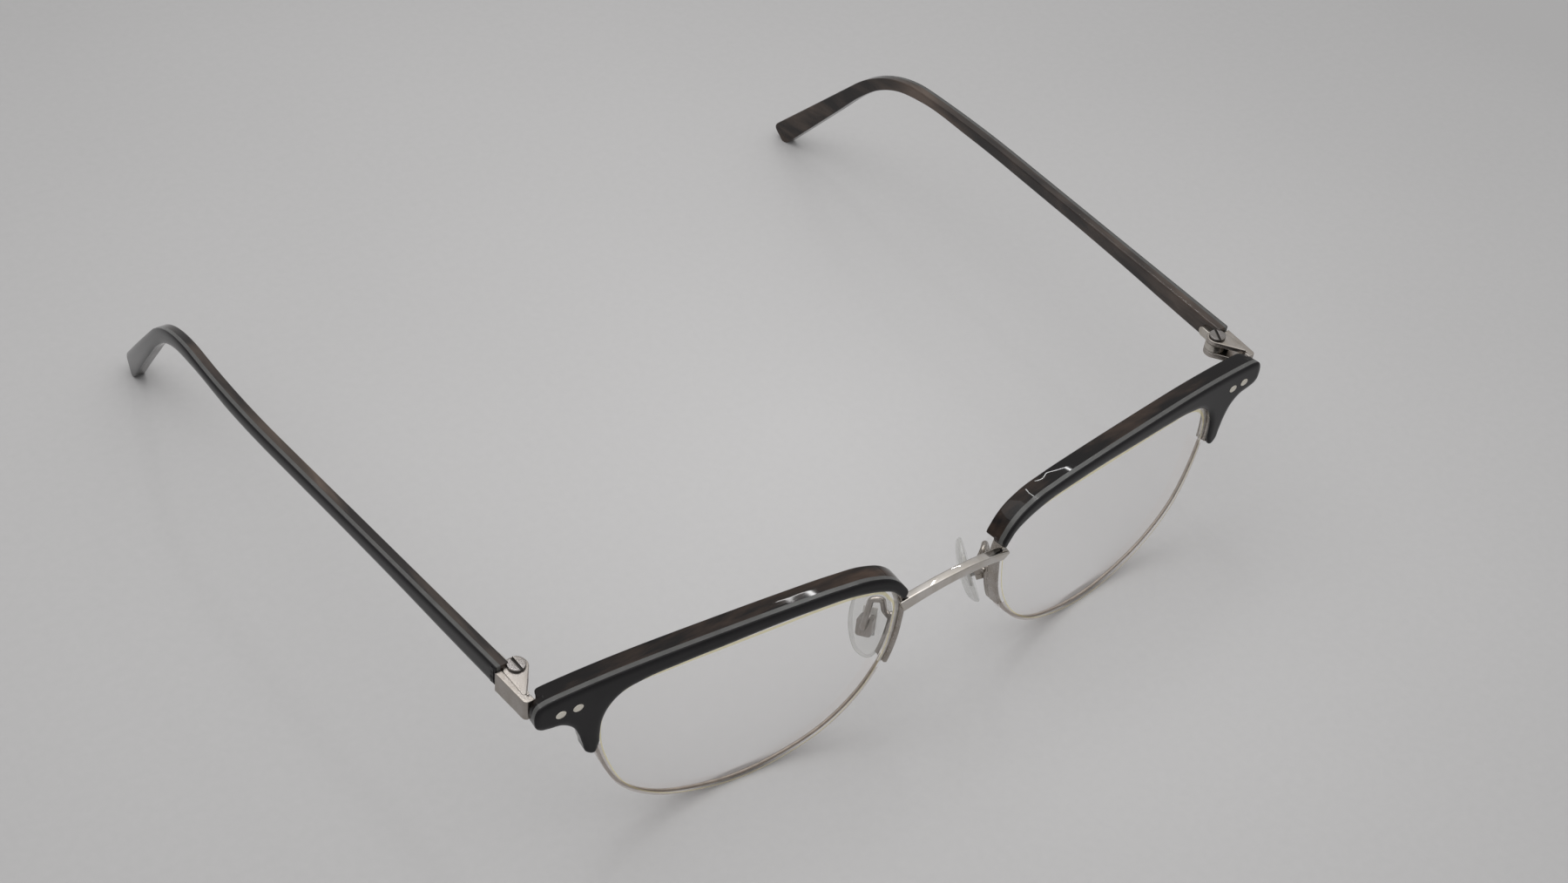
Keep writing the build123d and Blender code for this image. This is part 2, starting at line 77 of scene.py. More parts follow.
BLACK_DEPTH, STRIPE_DEPTH, PLATE_DEPTH, BROW_DEPTH, LIP_DEPTH = 0.4, 1.15, 2.15, 3.9, 0.6
THICK_END, THICK_LEG = 33.9, 10.6          # where the brow's brown sheet turns thin
END_ROUND, THIN_ROUND = 0.9, 0.15          # roundings of its thick outer end and thin rest
SWELL_SHARE, LEAST_SWELL = 0.36, 0.05      # of the brow's breadth, taken by its front edges
SEAT_PLAY, BROW_POINTS = 0.03, 320
NOSE_CUT, NOSE_CUT_FACES = (-25.11, 10.36), (0.545, 0.839)
RIM_FRONT, RIM_BACK, RIM_INSIDE, RIM_OUTSIDE, RIM_ROUND = 0.66, 2.54, 0.05, 0.75, 0.16
GROOVE_MIDDLE, GROOVE_WIDTH, GROOVE_FLOOR = 1.6, 0.6, 0.5
LENS_FRONT, LENS_BACK, FRONT_CURVE, BACK_CURVE = 0.42, 2.2, 500.0, 180.0
CORD_RADIUS, CORD_SINK = 0.26, 0.28
CORD_PAST_RIM, LINER_MIDDLE, LINER_SIZE, LINER_ROUND = 1.5, -0.1, (0.85, 0.52), 0.1
FRONT_BEVEL, BACK_BEVEL = 0.14, 0.22
LINE_IN, LINE_WIDTH = 0.35, 0.22           # the lens's cream bevel line, low down
HIGH_FROM, HIGH_OVER = 6.0, 5.0            # where it moves in and grows, up the lens
RIM_ENDS, RIM_ENDS_AT, CLEAR_BELOW_RIM = {"nose": -3.2, "ear": 3.4}, 20.0, 0.6
POLISHED, GROUND, LINE_KIND = 0, 1, 2      # finishes of the lens, in the order of its materials

PLATE_BACK, LEG_THICK, LEG_BOTTOM, LEG_TOP = 3.19, 1.0, 29.35, 32.95
CORNER_X, CORNER_Y, BUTT_Y = 70.55, 8.3, 15.1
CORNER_REACH, CORNER_RISE, CORNER_OUTSIDE, CORNER_INSIDE = 1.5, 0.05, 0.75, 0.15
KNUCKLE_R, PIN_R = 1.7, 0.62
RINGS = {"bottom": (29.75, 30.75), "middle": (30.8, 32.2), "top": (32.25, 33.05)}
PLATE_TIP, TIP_R, PLATE_HEEL, HEEL_R = (69.7, 10.0), 0.35, (69.75, 14.7), 0.3
POST_MIDDLE, POST_SIZE, POST_ROUND = (69.35, 11.325), (1.2, 2.85), 0.02
SCREW_HEAD_R, SCREW_HEAD = 1.35, 0.45
SLOT_TURNS, SLOT_WIDTH = {"right": radians(62), "left": radians(89)}, 0.38
LEAF_LENGTH, LEAF_HEIGHT, LEAF_THICK, LEAF_AHEAD = 2.8, 1.7, 0.7, 0.9
NECK_END, NECK_IN, NECK_THICK = 17.0, 0.62, 0.65

TEMPLE_START, TEMPLE_X, SPLAY = BUTT_Y + 0.15, 71.06, radians(3.83)
BOW_FROM, BOW_RADIUS, TEMPLE_THICK = 57.0, 258.0, 2.3
TEMPLE_LAYERS = {"face": (0.0, 0.35), "stripe": (0.35, 0.95), "back": (0.95, TEMPLE_THICK)}
TOP_Z, TOP_FALL = 33.7, radians(2.07)
STRAIGHT_TO, EAR_RADIUS, EAR_TURN, EAR_LENGTH = 97.0, 26.0, radians(44.3), 28.04
PADDLE_WIDTH, BUTT_CORNER, TIP_CORNER = 4.5, 0.3, 1.4
TEMPLE_UNDER = [
    (TEMPLE_START, 30.1), (27, 30.0), (38, 30.05), (50, 29.9), (66, 29.45), (84, 28.95),
    (96.9, 28.6), (104.2, 27.05), (109.0, 24.4), (113.0, 20.7), (118.6, 14.1), (124.2, 7.4),
]

PAD_MIDDLE = np.array((10.3, 6.7, 16.1))
PAD_UP = np.array((-0.24, 0.28, 0.92))
PAD_FACES = np.array((-0.87, 0.58, 0.0))
PAD_PIVOT, PAD_DEPTH, PAD_DOME, PAD_EDGE = -1.05, 2.0, 14.0, 0.35
ARM_ROOT, FOOT_BACK, ARM_RADIUS, ARM_LEAD = (-25.62, 3.3), 3.3, 0.5, 0.9
BOX_BEHIND_PIN, FOOT_TOP, FOOT_WIDTH = 1.35, 4.6, 0.58
ARM_TOPS = ((10.0, 4.8, 22.5), (11.3, 5.9, 22.3))
BRIDGE_REACH, BRIDGE_TOP, BRIDGE_FALL = 10.05, 27.0, 2.0
BRIDGE_FRONT, BRIDGE_BOW, BRIDGE_TWIST = 0.13, 0.72, radians(14)
BRIDGE_SIZE, BRIDGE_WAIST = (1.5, 1.95), 0.05
PART_GAP = 0.004           # between two shells of one piece, so that their faces don't meet

# outlines in the lens plane: across, up
LENS_OUTLINE = [
    (25.3, 4.2), (25.1, 8.6), (23.5, 12.0), (20.2, 13.9), (14.0, 14.6), (5.0, 14.9), (-4.0, 15.0),
    (-12.0, 14.9), (-18.5, 14.2), (-22.8, 12.7), (-24.9, 9.6), (-25.1, 4.0), (-23.8, -2.0),
    (-20.4, -7.9), (-14.6, -12.85), (-7.0, -15.6), (0.0, -16.43), (7.5, -15.4), (15.1, -12.5),
    (20.7, -7.8), (24.0, -1.2),
]
BROW_OUTLINE = [
    (34.55, 16.3), (33.7, 16.58), (32.4, 16.7), (30.0, 16.75), (20.0, 16.85), (5.0, 16.9),
    (-6.0, 16.8), (-14.0, 16.55), (-19.5, 15.95), (-23.0, 14.55), (-25.2, 12.35), (-25.95, 10.75),
    (-25.3, 9.9), (-24.6, 10.6), (-23.2, 12.0), (-21.0, 13.0), (-17.0, 14.0), (-9.5, 14.45),
    (-3.0, 14.5), (5.0, 14.25), (12.0, 14.05), (18.5, 13.6), (21.4, 12.9), (23.5, 11.2),
    (24.6, 9.0), (24.95, 6.4), (25.1, 4.4), (25.9, 3.1), (27.0, 3.7), (27.7, 5.8), (28.3, 7.9),
    (29.3, 9.9), (31.0, 11.25), (33.2, 11.75), (34.3, 12.1), (35.0, 12.75), (35.25, 13.8),
    (35.25, 14.9), (35.03, 15.7),
]
BROW_NOSE, BEHIND_NOSE, BROW_LEG = (-25.3, 9.9), (-25.7, 10.2), (25.9, 3.1)
TONGUE_OUTLINE = [
    (27.4, 12.4), (34.0, 12.4), (34.1, 12.75), (34.85, 12.75), (34.85, 15.7), (34.05, 15.7),
    (34.0, 15.4), (27.4, 15.4),
]
PAD_OUTLINE = [
    (0.0, 6.2), (2.0, 5.2), (3.15, 2.6), (3.15, -0.8), (2.3, -4.0), (0.5, -6.1), (-1.2, -5.6),
    (-2.8, -2.8), (-3.25, 0.4), (-2.8, 3.6), (-1.55, 5.7),
]
RIVETS = [(31.3, 13.75), (28.6, 13.65)]
SHANK_RADIUS, RIVET_HEAD = 0.55, (0.84, 0.64)
# a rivet's dome in front and its shank behind, as share of the radius, inset and depth
RIVET_DOME = [(0, 0, 0.12), (1, 0, 0.12), (1, 0, 0.02), (0.93, 0, -0.04), (0.75, 0, -0.07),
              (0.4, 0, -0.09), (0, 0, -0.095)]
RIVET_SHANK = [(0, 0, PLATE_DEPTH), (1, 0, PLATE_DEPTH), (1, 0, 3.22), (0.8, 0, 3.3), (0, 0, 3.33)]

# the stage: the pool of light painted on the table, in millimetres; lamps in metres and watts,
# roll in degrees
TABLE_HALF = 2500.0
POOL_CENTRE, POOL_REACH, POOL_DIMMEST = (20, 60 + SHIFT_Y, 0), 300, 0.71
SKY = ((0.0, (0.30, 0.30, 0.30)), (0.3, (0.30, 0.30, 0.30)), (0.45, (0.36, 0.36, 0.36)),
       (0.62, (0.48, 0.48, 0.475)), (0.8, (0.70, 0.695, 0.69)), (1.0, (1.0, 0.995, 0.985)))
SKY_STRENGTH = 1.42
LAMPS = (  # name, place, width, height, power, roll
    ("Window", (-0.55, 0.40, 1.5), 1.5, 1.3, 6.0, 0),
    ("Tube above", (0.316, 0.595, 1.112), 0.025, 0.25, 0.40, 0),
    ("Tube behind", (0.680, 0.655, 0.877), 0.15, 0.008, 0.13, 3),
)
LOOKED_AT, FILM_WIDTH = (15.054, 58.748 + SHIFT_Y, 0), 36


# ---- curves --------------------------------------------------------------------------------
def unit(vectors):
    """Vectors over their lengths."""
    return vectors / np.linalg.norm(vectors, axis=-1, keepdims=True)


def smooth(points, per_span=10, closed=True):
    """Cubic spans through the points. The heading at a point is that of the circle through it
    and its two neighbours, and a span's pull is its chord's length."""
    p = np.array(points, float)
    before, after = p - np.roll(p, 1, 0), np.roll(p, -1, 0) - p
    headings = unit(before / (before**2).sum(1)[:, None] + after / (after**2).sum(1)[:, None])
    if not closed:
        for end, inner in ((0, 1), (-1, -2)):
            chord = unit(p[inner] - p[end])
            headings[end] = chord * 2 * (chord @ headings[inner]) - headings[inner]
    t = np.linspace(0, 1, per_span, endpoint=False)[None, :, None]
    start, stop = p[:, None], np.roll(p, -1, 0)[:, None]
    pull = np.linalg.norm(stop - start, axis=2, keepdims=True)
    curve = (
        (2 * t**3 - 3 * t**2 + 1) * start + (3 * t**2 - 2 * t**3) * stop
        + (t**3 - 2 * t**2 + t) * pull * headings[:, None]
        + (t**3 - t**2) * pull * np.roll(headings, -1, 0)[:, None]
    )
    if closed:
        return curve.reshape(-1, p.shape[1])
    return np.vstack([curve[:-1].reshape(-1, p.shape[1]), p[-1:]])


def respace(curve, count):
    """The curve as count points at even distances along it."""
    along = np.concatenate([[0], np.cumsum(np.linalg.norm(np.diff(curve, axis=0), axis=1))])
    at = np.linspace(0, along[-1], count)
    return np.stack([np.interp(at, along, curve[:, k]) for k in range(curve.shape[1])], 1)


def respaced_loop(loop, count):
    """A closed loop as count points at even distances round it."""
    return respace(np.vstack([loop, loop[:1]]), count + 1)[:-1]


def outward(loop):
    """Unit vectors out of a closed flat loop: its heading turned a quarter turn."""
    heading = unit(np.roll(loop, -1, 0) - np.roll(loop, 1, 0))
    x, y = loop.T
    sense = np.sign((x * np.roll(y, -1) - np.roll(x, -1) * y).sum())
    return np.stack([heading[:, 1], -heading[:, 0]], 1) * sense


def halves(loop, first, last, count):
    """The loop from the point nearest first to the point nearest last, both ways round."""
    a = np.argmin(np.linalg.norm(loop - first, axis=1))
    ring = np.roll(loop, -a, 0)
    b = np.argmin(np.linalg.norm(ring - last, axis=1))
    one, other = ring[:b + 1], np.vstack([ring[b:], ring[:1]])[::-1]
    return respace(one, count), respace(other, count)


def closed_loop(top, bottom):
    """Two lines that share their ends, or two rows of numbers along them, as one loop."""
    return np.concatenate([top, bottom[-2:0:-1]])


def clipped(loop, point, towards):
    """The part of the loop on the side of a line, through point, that towards faces."""
    side = (loop - point) @ np.array(towards)
    ahead, side_ahead = np.roll(loop, -1, 0), np.roll(side, -1)
    cut = (side >= 0) != (side_ahead >= 0)
    share = np.where(cut, side / np.where(cut, side - side_ahead, 1), 0)
    crossings = loop + (ahead - loop) * share[:, None]
    pairs = np.stack([loop, crossings], 1).reshape(-1, 2)
    return pairs[np.stack([side >= 0, cut], 1).ravel()]


def hull(points, ways=3600):
    """The convex outline round some points: the farthest one each way, from the leftmost on."""
    angle = pi + np.linspace(0, 2 * pi, ways, endpoint=False)
    farthest = np.argmax(points @ np.stack([np.cos(angle), np.sin(angle)]), 0)
    corners = farthest[np.insert(np.diff(farthest) != 0, 0, True)]
    return points[corners[:-1] if corners[-1] == corners[0] else corners]


def beyond(loop, hole):
    """The loop with every point that lies inside a star-shaped hole pushed out to its edge."""
    order = np.argsort(np.arctan2(hole[:, 1], hole[:, 0]))
    angles = np.arctan2(hole[order, 1], hole[order, 0])
    reach = np.interp(np.arctan2(loop[:, 1], loop[:, 0]), angles, np.hypot(*hole[order].T),
                      period=2 * pi)
    own = np.hypot(loop[:, 0], loop[:, 1])
    return loop * np.maximum(1, reach / own)[:, None]


def rounded_corners(points, reach, steps=8):
    """Straight runs whose inner corners are quadratic curves that start reach before them."""
    p = np.array(points, float)
    t = np.linspace(0, 1, steps)[:, None]
    line = [p[:1]]
    for before, corner, after in zip(p[:-2], p[1:-1], p[2:]):
        a = corner + unit(before - corner) * reach
        b = corner + unit(after - corner) * reach
        line.append((1 - t) ** 2 * a + 2 * t * (1 - t) * corner + t**2 * b)
    return np.vstack(line + [p[-1:]])


LENS_LOOP = smooth(LENS_OUTLINE, 14)
BROW_LOOP = smooth(BROW_OUTLINE, 16)


# ---- surfaces ------------------------------------------------------------------------------
EDGE_STEPS, CAP_COLUMNS = 7, 5             # points round an edge's quarter, and across a face


def grid(points, around=False):
    """A grid of points (rows, columns, 3) as (points, four-sided faces)."""
    rows, columns = points.shape[:2]
    ids = np.arange(rows * columns).reshape(rows, columns)
    if around:
        ids = np.hstack([ids, ids[:, :1]])
    faces = np.stack([ids[:-1, :-1], ids[1:, :-1], ids[1:, 1:], ids[:-1, 1:]], -1)
    return points.reshape(-1, 3), faces.reshape(-1, 4)


def joined(*patches):
    """Patches as one shell, in which points at one place are one point."""
    offsets = np.cumsum([0] + [len(points) for points, _ in patches])
    points = np.vstack([points for points, _ in patches])
    faces = np.vstack([faces + offset for (_, faces), offset in zip(patches, offsets)])
    _, first, index = np.unique(np.round(points, 4), axis=0, return_index=True,
                                return_inverse=True)
    return points[first], index.ravel()[faces]


def edge_rows(near, far, round_near, round_far, drop):
    """Inset and depth of a sheet's edge: a quarter oval of the near face, as wide as
    round_near and as deep as drop, a straight side, and a quarter round."""
    angles = np.linspace(0, pi / 2, EDGE_STEPS)
    rows = [(round_near * (1 - sin(a)), near + drop * (1 - cos(a))) for a in angles]
    rows += [(round_far * (1 - sin(a)), far - round_far * (1 - cos(a))) for a in angles[::-1]]
    return rows


def inwards(loop, out, inset, depth):
    """A loop moved in by inset, at a depth; each is one number or one for each point."""
    return np.column_stack([loop - out * np.reshape(inset, (-1, 1)),
                            np.broadcast_to(depth, len(loop))])


def sheet(top, bottom, near, far, round_near, round_far, place, drop=None):
    """A sheet between two outlines that share their ends.

    Its edge profile is carried round the loop of both outlines, and each face is ruled
    straight from a point of the one outline to the same point of the other. Depths and
    roundings are numbers, or one number for each point of the loop.
    """
    loop = closed_loop(top, bottom)
    out = outward(loop)
    drop = round_near if drop is None else drop
    rows = np.array([inwards(loop, out, inset, depth)
                     for inset, depth in edge_rows(near, far, round_near, round_far, drop)])
    count = len(top)
    other = -np.arange(count) % len(loop)
    t = np.linspace(0, 1, CAP_COLUMNS)[None, :, None]
    caps = [row[:count, None] * (1 - t) + row[other][:, None] * t for row in (rows[0], rows[-1])]
    shell = joined(grid(rows, True), grid(caps[0]), grid(caps[1]))
    return place(shell[0]), shell[1]


def star(loop, rows, place):
    """A closed shell from rows of (share, inset, depth): the outline moved in by the inset and
    shrunk to the share about (0, 0). A depth is numbers, or a function of (across, up)."""
    out = outward(loop)
    points = []
    for share, inset, depth in rows:
        flat = inwards(loop, out, inset, 0)[:, :2] * share
        level = depth(flat) if callable(depth) else np.broadcast_to(depth, len(loop))
        points.append(np.column_stack([flat, level]))
    shell = joined(grid(np.array(points), True))
    return place(shell[0]), shell[1]


def spherical(middle, radius):
    """The depth of a spherical face: middle + radius - the root of radius² - across² - up².
    A radius below zero bulges it the other way."""
    def depth(flat):
        return middle + radius - np.sign(radius) * np.sqrt(radius**2 - (flat**2).sum(1))

    return depth


def sweep(path, section, across, ends=0.15):
    """A section (points, 2) carried along a path, its first axis along across.

    ends is how far the section shrinks at the two ends, over as long a stretch.
    """
    heading = unit(np.gradient(path, axis=0))
    side = np.broadcast_to(across, path.shape)
    side = unit(side - (side * heading).sum(1)[:, None] * heading)
    up = np.cross(heading, side)
    section = np.broadcast_to(section, (len(path),) + np.shape(section)[-2:])
    rows = path[:, None] + section[..., :1] * side[:, None] + section[..., 1:] * up[:, None]
    first, last = rows[0], rows[-1]
    shrink = 1 - ends / np.abs(section).max()
    caps = []
    for row, middle, out in ((first, path[0], -heading[0]), (last, path[-1], heading[-1])):
        caps.append([row + out * ends * 0.7, middle + (row - middle) * shrink + out * ends,
                     np.broadcast_to(middle + out * ends, row.shape)])
    rows = np.vstack([np.array(caps[0][::-1]), rows, np.array(caps[1])])
    return joined(grid(rows, True))


def rounded_box(width, height, radius, steps=5):
    """A closed outline: a rectangle with quarter-round corners."""
    x, y = width / 2 - radius, height / 2 - radius
    turns = np.linspace(0, pi / 2, steps)
    corners = []
    for k, (cx, cy) in enumerate(((x, y), (-x, y), (-x, -y), (x, -y))):
        angle = turns + k * pi / 2
        corners.append(np.stack([cx + radius * np.cos(angle), cy + radius * np.sin(angle)], 1))
    return np.vstack(corners)


def circle(radius, count=32, centre=(0, 0)):
    """A closed circle."""
    angle = np.linspace(0, 2 * pi, count, endpoint=False)
    return np.stack([centre[0] + radius * np.cos(angle), centre[1] + radius * np.sin(angle)], 1)


# ---- places --------------------------------------------------------------------------------
def on_face(points, bent=False):
    """Lens-plane points (across, up, depth) in the glasses' frame. The brow also bends
    forward by the rise of its arc."""
    across, up, depth = points.T
    past = np.maximum(0, across - BEND_FROM)
    rise = BEND_RADIUS - np.sqrt(BEND_RADIUS**2 - past**2) if bent else 0
    return FACE_ORIGIN + np.column_stack([across, up, rise - depth]) @ FACE_AXES


def on_brow(points):
    """As on_face, with the brow's forward bend."""
    return on_face(points, True)


def on_temple(points):
    """Side-view points (back, up, depth in from the outer face) in the glasses' frame: the
    outer face runs straight, then along an arc that bows inwards."""
    y, z, depth = points.T
    straight = TEMPLE_X + tan(SPLAY) * (y - TEMPLE_START) - depth / cos(SPLAY)
    bow_x = TEMPLE_X + sin(SPLAY) * BOW_FROM - cos(SPLAY) * BOW_RADIUS
    bow_y = TEMPLE_START + cos(SPLAY) * BOW_FROM + sin(SPLAY) * BOW_RADIUS
    radius = BOW_RADIUS - depth
    bowed = bow_x + np.sqrt(np.maximum(radius**2 - (y - bow_y) ** 2, 0))
    from_y = bow_y - sin(SPLAY) * radius
    return np.column_stack([np.where(y < from_y, straight, bowed), y, z])


def flat_plan(points):
    """Plan points (x, y, height) as they are."""
    return points


pad_up = unit(PAD_UP)
pad_out = unit(PAD_FACES - pad_up * (PAD_FACES @ pad_up))
PAD_AXES = np.stack([np.cross(pad_up, pad_out), pad_up, pad_out])


def on_pad(points):
    """Pad points (across, up, height above its back) in the glasses' frame."""
    return PAD_MIDDLE + points @ PAD_AXES


# ---- pieces --------------------------------------------------------------------------------
def finish_piece(name, shells, sign, body, nodes, slot, material, sharp=35, weigh=True,
                 marks=None):
    """Makes one object of closed shells in millimetres, riding on a body: as they are where
    sign is 1, mirrored where it is -1.

    Quads with two corners at one place become triangles. marks gives, for each shell, the
    number of the material of each of its faces.
    """
    vertices, faces, offset, kinds = [], [], 0, []
    for number, (points, quads) in enumerate(shells):
        same = quads == np.roll(quads, 1, axis=1)
        few = same.sum(1)
        faces += (quads[few == 0] + offset).tolist()
        faces += (quads[few == 1][~same[few == 1]].reshape(-1, 3) + offset).tolist()
        if marks is not None:
            kinds += [*marks[number][few == 0], *marks[number][few == 1]]
        vertices.append(points)
        offset += len(points)
    points = (np.vstack(vertices) * (sign, 1, 1) + (0, SHIFT_Y, 0)) * MM
    mesh = bpy.data.meshes.new(name)
    mesh.from_pydata(points.tolist(), [], faces)
    work = bmesh.new()
    work.from_mesh(mesh)
    bmesh.ops.recalc_face_normals(work, faces=work.faces)
    work.to_mesh(mesh)
    work.free()
    mesh.shade_smooth()
    mesh.set_sharp_from_angle(angle=radians(sharp))
    piece = bpy.data.objects.new(name, mesh)
    bpy.context.scene.collection.objects.link(piece)
    for kind in (material if isinstance(material, tuple) else (material,)):
        mesh.materials.append(kind)
    if marks is not None:
        mesh.polygons.foreach_set("material_index", np.array(kinds, np.int32))
    if weigh:
        modifier = piece.modifiers.new("Weighted normals", "WEIGHTED_NORMAL")
        modifier.keep_sharp = True
    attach(piece, body)
    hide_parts(*nodes)


def on_both_sides(node, name, shells, slot, material, body="front", **options):
    """Makes a piece on the right and its mirror on the left, each in place of its own node."""
    for side, sign in SIDES.items():
        finish_piece(f"{name}_{side}", shells, sign, body.format(side), [f"{node}_{side}"], slot,
                     material, **options)


def dress(node, material):
    """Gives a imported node's mesh a finish, on both sides."""
    for side in SIDES:
        piece = frame["nodes"][f"{node}_{side}"]
        piece.data.materials.clear()
        piece.data.materials.append(material)


# ---- shader maths --------------------------------------------------------------------------
class Maths:
    """A shader socket that Python's operators work on."""

    def __init__(self, tree, socket):
        self.tree = tree
        self.socket = socket

    def _math(self, operation, first, second):
        return self.tree.node("ShaderNodeMath", {"operation": operation}, {0: first, 1: second})

    def __add__(self, other):
        return self._math("ADD", self, other)

    def __mul__(self, other):
        return self._math("MULTIPLY", self, other)

    def __sub__(self, other):
        return self._math("SUBTRACT", self, other)

    def __rsub__(self, other):
        return self._math("SUBTRACT", other, self)

    __radd__, __rmul__ = __add__, __mul__


class Tree:
    """A material's or world's nodes, made by one method."""

    def __init__(self, owner):
        owner.use_nodes = True
        self.nodes, self.links = owner.node_tree.nodes, owner.node_tree.links
        self.nodes.clear()

    def node(self, kind, settings=None, values=None, output=0):
        """A node of a type, its settings set first, then its sockets' values or links."""
        node = self.nodes.new(kind)
        for name, value in (settings or {}).items():
            if name == "stops":
                ramp = node.color_ramp.elements
                while len(ramp) < len(value):
                    ramp.new(0.5)
                for stop, (at, colour) in zip(ramp, value):
                    stop.position, stop.color = at, (*colour, 1)
            else:
                setattr(node, name, value)
        for name, value in (values or {}).items():
            if isinstance(value, Maths):
                self.links.new(value.socket, node.inputs[name])
            else:
                node.inputs[name].default_value = value
        return Maths(self, node.outputs[output])

    def own_place(self, scale=(1, 1, 1), turn=(0, 0, 0), centre=(0, 0, 0)):
        """The piece's own coordinates in millimetres from a centre, stretched and turned."""
        own = self.node("ShaderNodeTexCoord", output="Object")
        grown = tuple(value / MM for value in scale)
        start = tuple(-value * size for value, size in zip(centre, scale))
        return self.node("ShaderNodeMapping", None, {
            0: own, "Location": start, "Scale": grown, "Rotation": turn})

    def noise(self, place, size, detail=2.0, rough=0.5, warp=0.0):
        """Noise whose features are about size millimetres across."""
        return self.node("ShaderNodeTexNoise", None, {
            "Vector": place, "Scale": 1 / size, "Detail": detail, "Roughness": rough,
            "Distortion": warp})

    def ramp(self, value, *stops):
        """A colour ramp."""
        return self.node("ShaderNodeValToRGB", {"stops": stops}, {0: value})

    def bump(self, height, strength, distance):
        """A normal from a height, whose distance is in millimetres."""
        return self.node("ShaderNodeBump", None, {
            "Height": height, "Strength": strength, "Distance": distance * MM})

    def surface(self, shader, kind="ShaderNodeOutputMaterial"):
        """The output, which takes the shader."""
        out = self.nodes.new(kind)
        self.links.new(shader.socket, out.inputs[0])


def principled(tree, values):
    """A Principled shader with these sockets."""
    return tree.node("ShaderNodeBsdfPrincipled", None, values)


def scaled(colour, share):
    """A colour made darker by a share."""
    return tuple(value * share for value in colour)


def new_tree(name):
    """A fresh material and its nodes."""
    material = bpy.data.materials.new(name)
    return material, Tree(material)


# ---- finishes ------------------------------------------------------------------------------
def black_acetate(colour):
    """Polished black acetate: faint cloudy tone, fine wipe marks in the polish."""
    material, tree = new_tree("Black acetate")
    place = tree.own_place()
    cloud = tree.noise(place, 6.0, 3.0)
    wipe = tree.noise(tree.own_place((1, 0.25, 1), (0, 0, 0.5)), 0.35, 4.0, 0.6)
    lifted = tuple(value * 1.9 + 0.002 for value in colour)
    tone = tree.ramp(cloud, (0.3, colour), (0.75, lifted))
    tree.surface(principled(tree, {
        "Base Color": tone, "Roughness": 0.05 + wipe * 0.08, "IOR": 1.48,
        "Specular IOR Level": 0.3, "Normal": tree.bump(wipe, 0.06, 0.01)}))
    return material


def pale_acetate(colour):
    """The pale middle sheet: milky and a little uneven."""
    material, tree = new_tree("Pale acetate")
    cloud = tree.noise(tree.own_place(), 2.5, 3.0)
    tree.surface(principled(tree, {
        "Base Color": tree.ramp(cloud, (0.3, scaled(colour, 0.82)), (0.7, colour)),
        "Roughness": 0.16 + cloud * 0.08, "IOR": 1.48, "Subsurface Weight": 0.15,
        "Subsurface Radius": (0.0006, 0.0006, 0.0005), "Specular IOR Level": 0.4}))
    return material


def brown_acetate(name, dark, light, along, shine, ends=0.0):
    """Dark brown acetate with warm streaks that run along the sheet, fewer at its outer ends."""
    material, tree = new_tree(name)
    broad = tree.noise(tree.own_place(along), 5.0, 4.0, 0.55, 0.6)
    fine = tree.noise(tree.own_place(along), 1.3, 3.0, 0.6, 0.3)
    mottle = tree.noise(tree.own_place(), 13.0, 2.0)
    across = tree.node("ShaderNodeSeparateXYZ", None, {0: tree.own_place()})
    aside = tree.node("ShaderNodeMath", {"operation": "ABSOLUTE"}, {0: across})
    outer = tree.node("ShaderNodeMapRange", None, {0: aside, 1: 36.0, 2: 62.0, 3: 0.0, 4: ends})
    middle = tuple((a + b) * 0.4 for a, b in zip(dark, light))
    tone = tree.ramp(broad * 0.5 + fine * 0.2 + mottle * 0.3 - outer,
                     (0.43, dark), (0.54, middle), (0.66, light))
    wipe = tree.noise(tree.own_place((0.3, 1, 1)), 0.4, 4.0)
    tree.surface(principled(tree, {
        "Base Color": tone, "Roughness": 0.02 + wipe * 0.02, "IOR": 1.48,
        "Specular IOR Level": shine, "Normal": tree.bump(wipe, 0.012, 0.01)}))
    return material


def metal(name, colour, rough, grain, grain_along=(1, 1, 1)):
    """Plated metal: brushed grain in the roughness and a trace of it in the surface."""
    material, tree = new_tree(name)
    lines = tree.noise(tree.own_place(grain_along), grain, 4.0, 0.6)
    tarnish = tree.noise(tree.own_place(), 2.4, 3.0)
    duller = (colour[0] * 0.86, colour[1] * 0.84, colour[2] * 0.80)
    tree.surface(principled(tree, {
        "Base Color": tree.ramp(tarnish, (0.35, duller), (0.62, colour)),
        "Metallic": 1.0, "Roughness": rough * 0.7 + lines * (rough * 0.6),
        "Normal": tree.bump(lines, 0.04, 0.012)}))
    return material


def clear_material(name, colour, veil, rough, ior=1.5):
    """Clear polished plastic: it shows what is behind it, and mirrors more at a slant.

    Lamps shine through it, so that its shadow is faint.
    """
    material, tree = new_tree(name)
    inside = tree.node("ShaderNodeNewGeometry", output="Backfacing")
    mirror = tree.node("ShaderNodeFresnel", None, {"IOR": ior}) * (1 - inside)
    through = tree.node("ShaderNodeBsdfTransparent", None, {0: (*colour, 1)})
    gloss = tree.node("ShaderNodeBsdfGlossy", None, {"Color": (1, 1, 1, 1), "Roughness": rough})
    body = tree.node("ShaderNodeBsdfDiffuse", None, {0: (0.8, 0.8, 0.78, 1)})
    seen = tree.node("ShaderNodeMixShader", None, {0: veil, 1: through, 2: body})
    tree.surface(tree.node("ShaderNodeMixShader", None, {0: mirror, 1: seen, 2: gloss}))
    return material


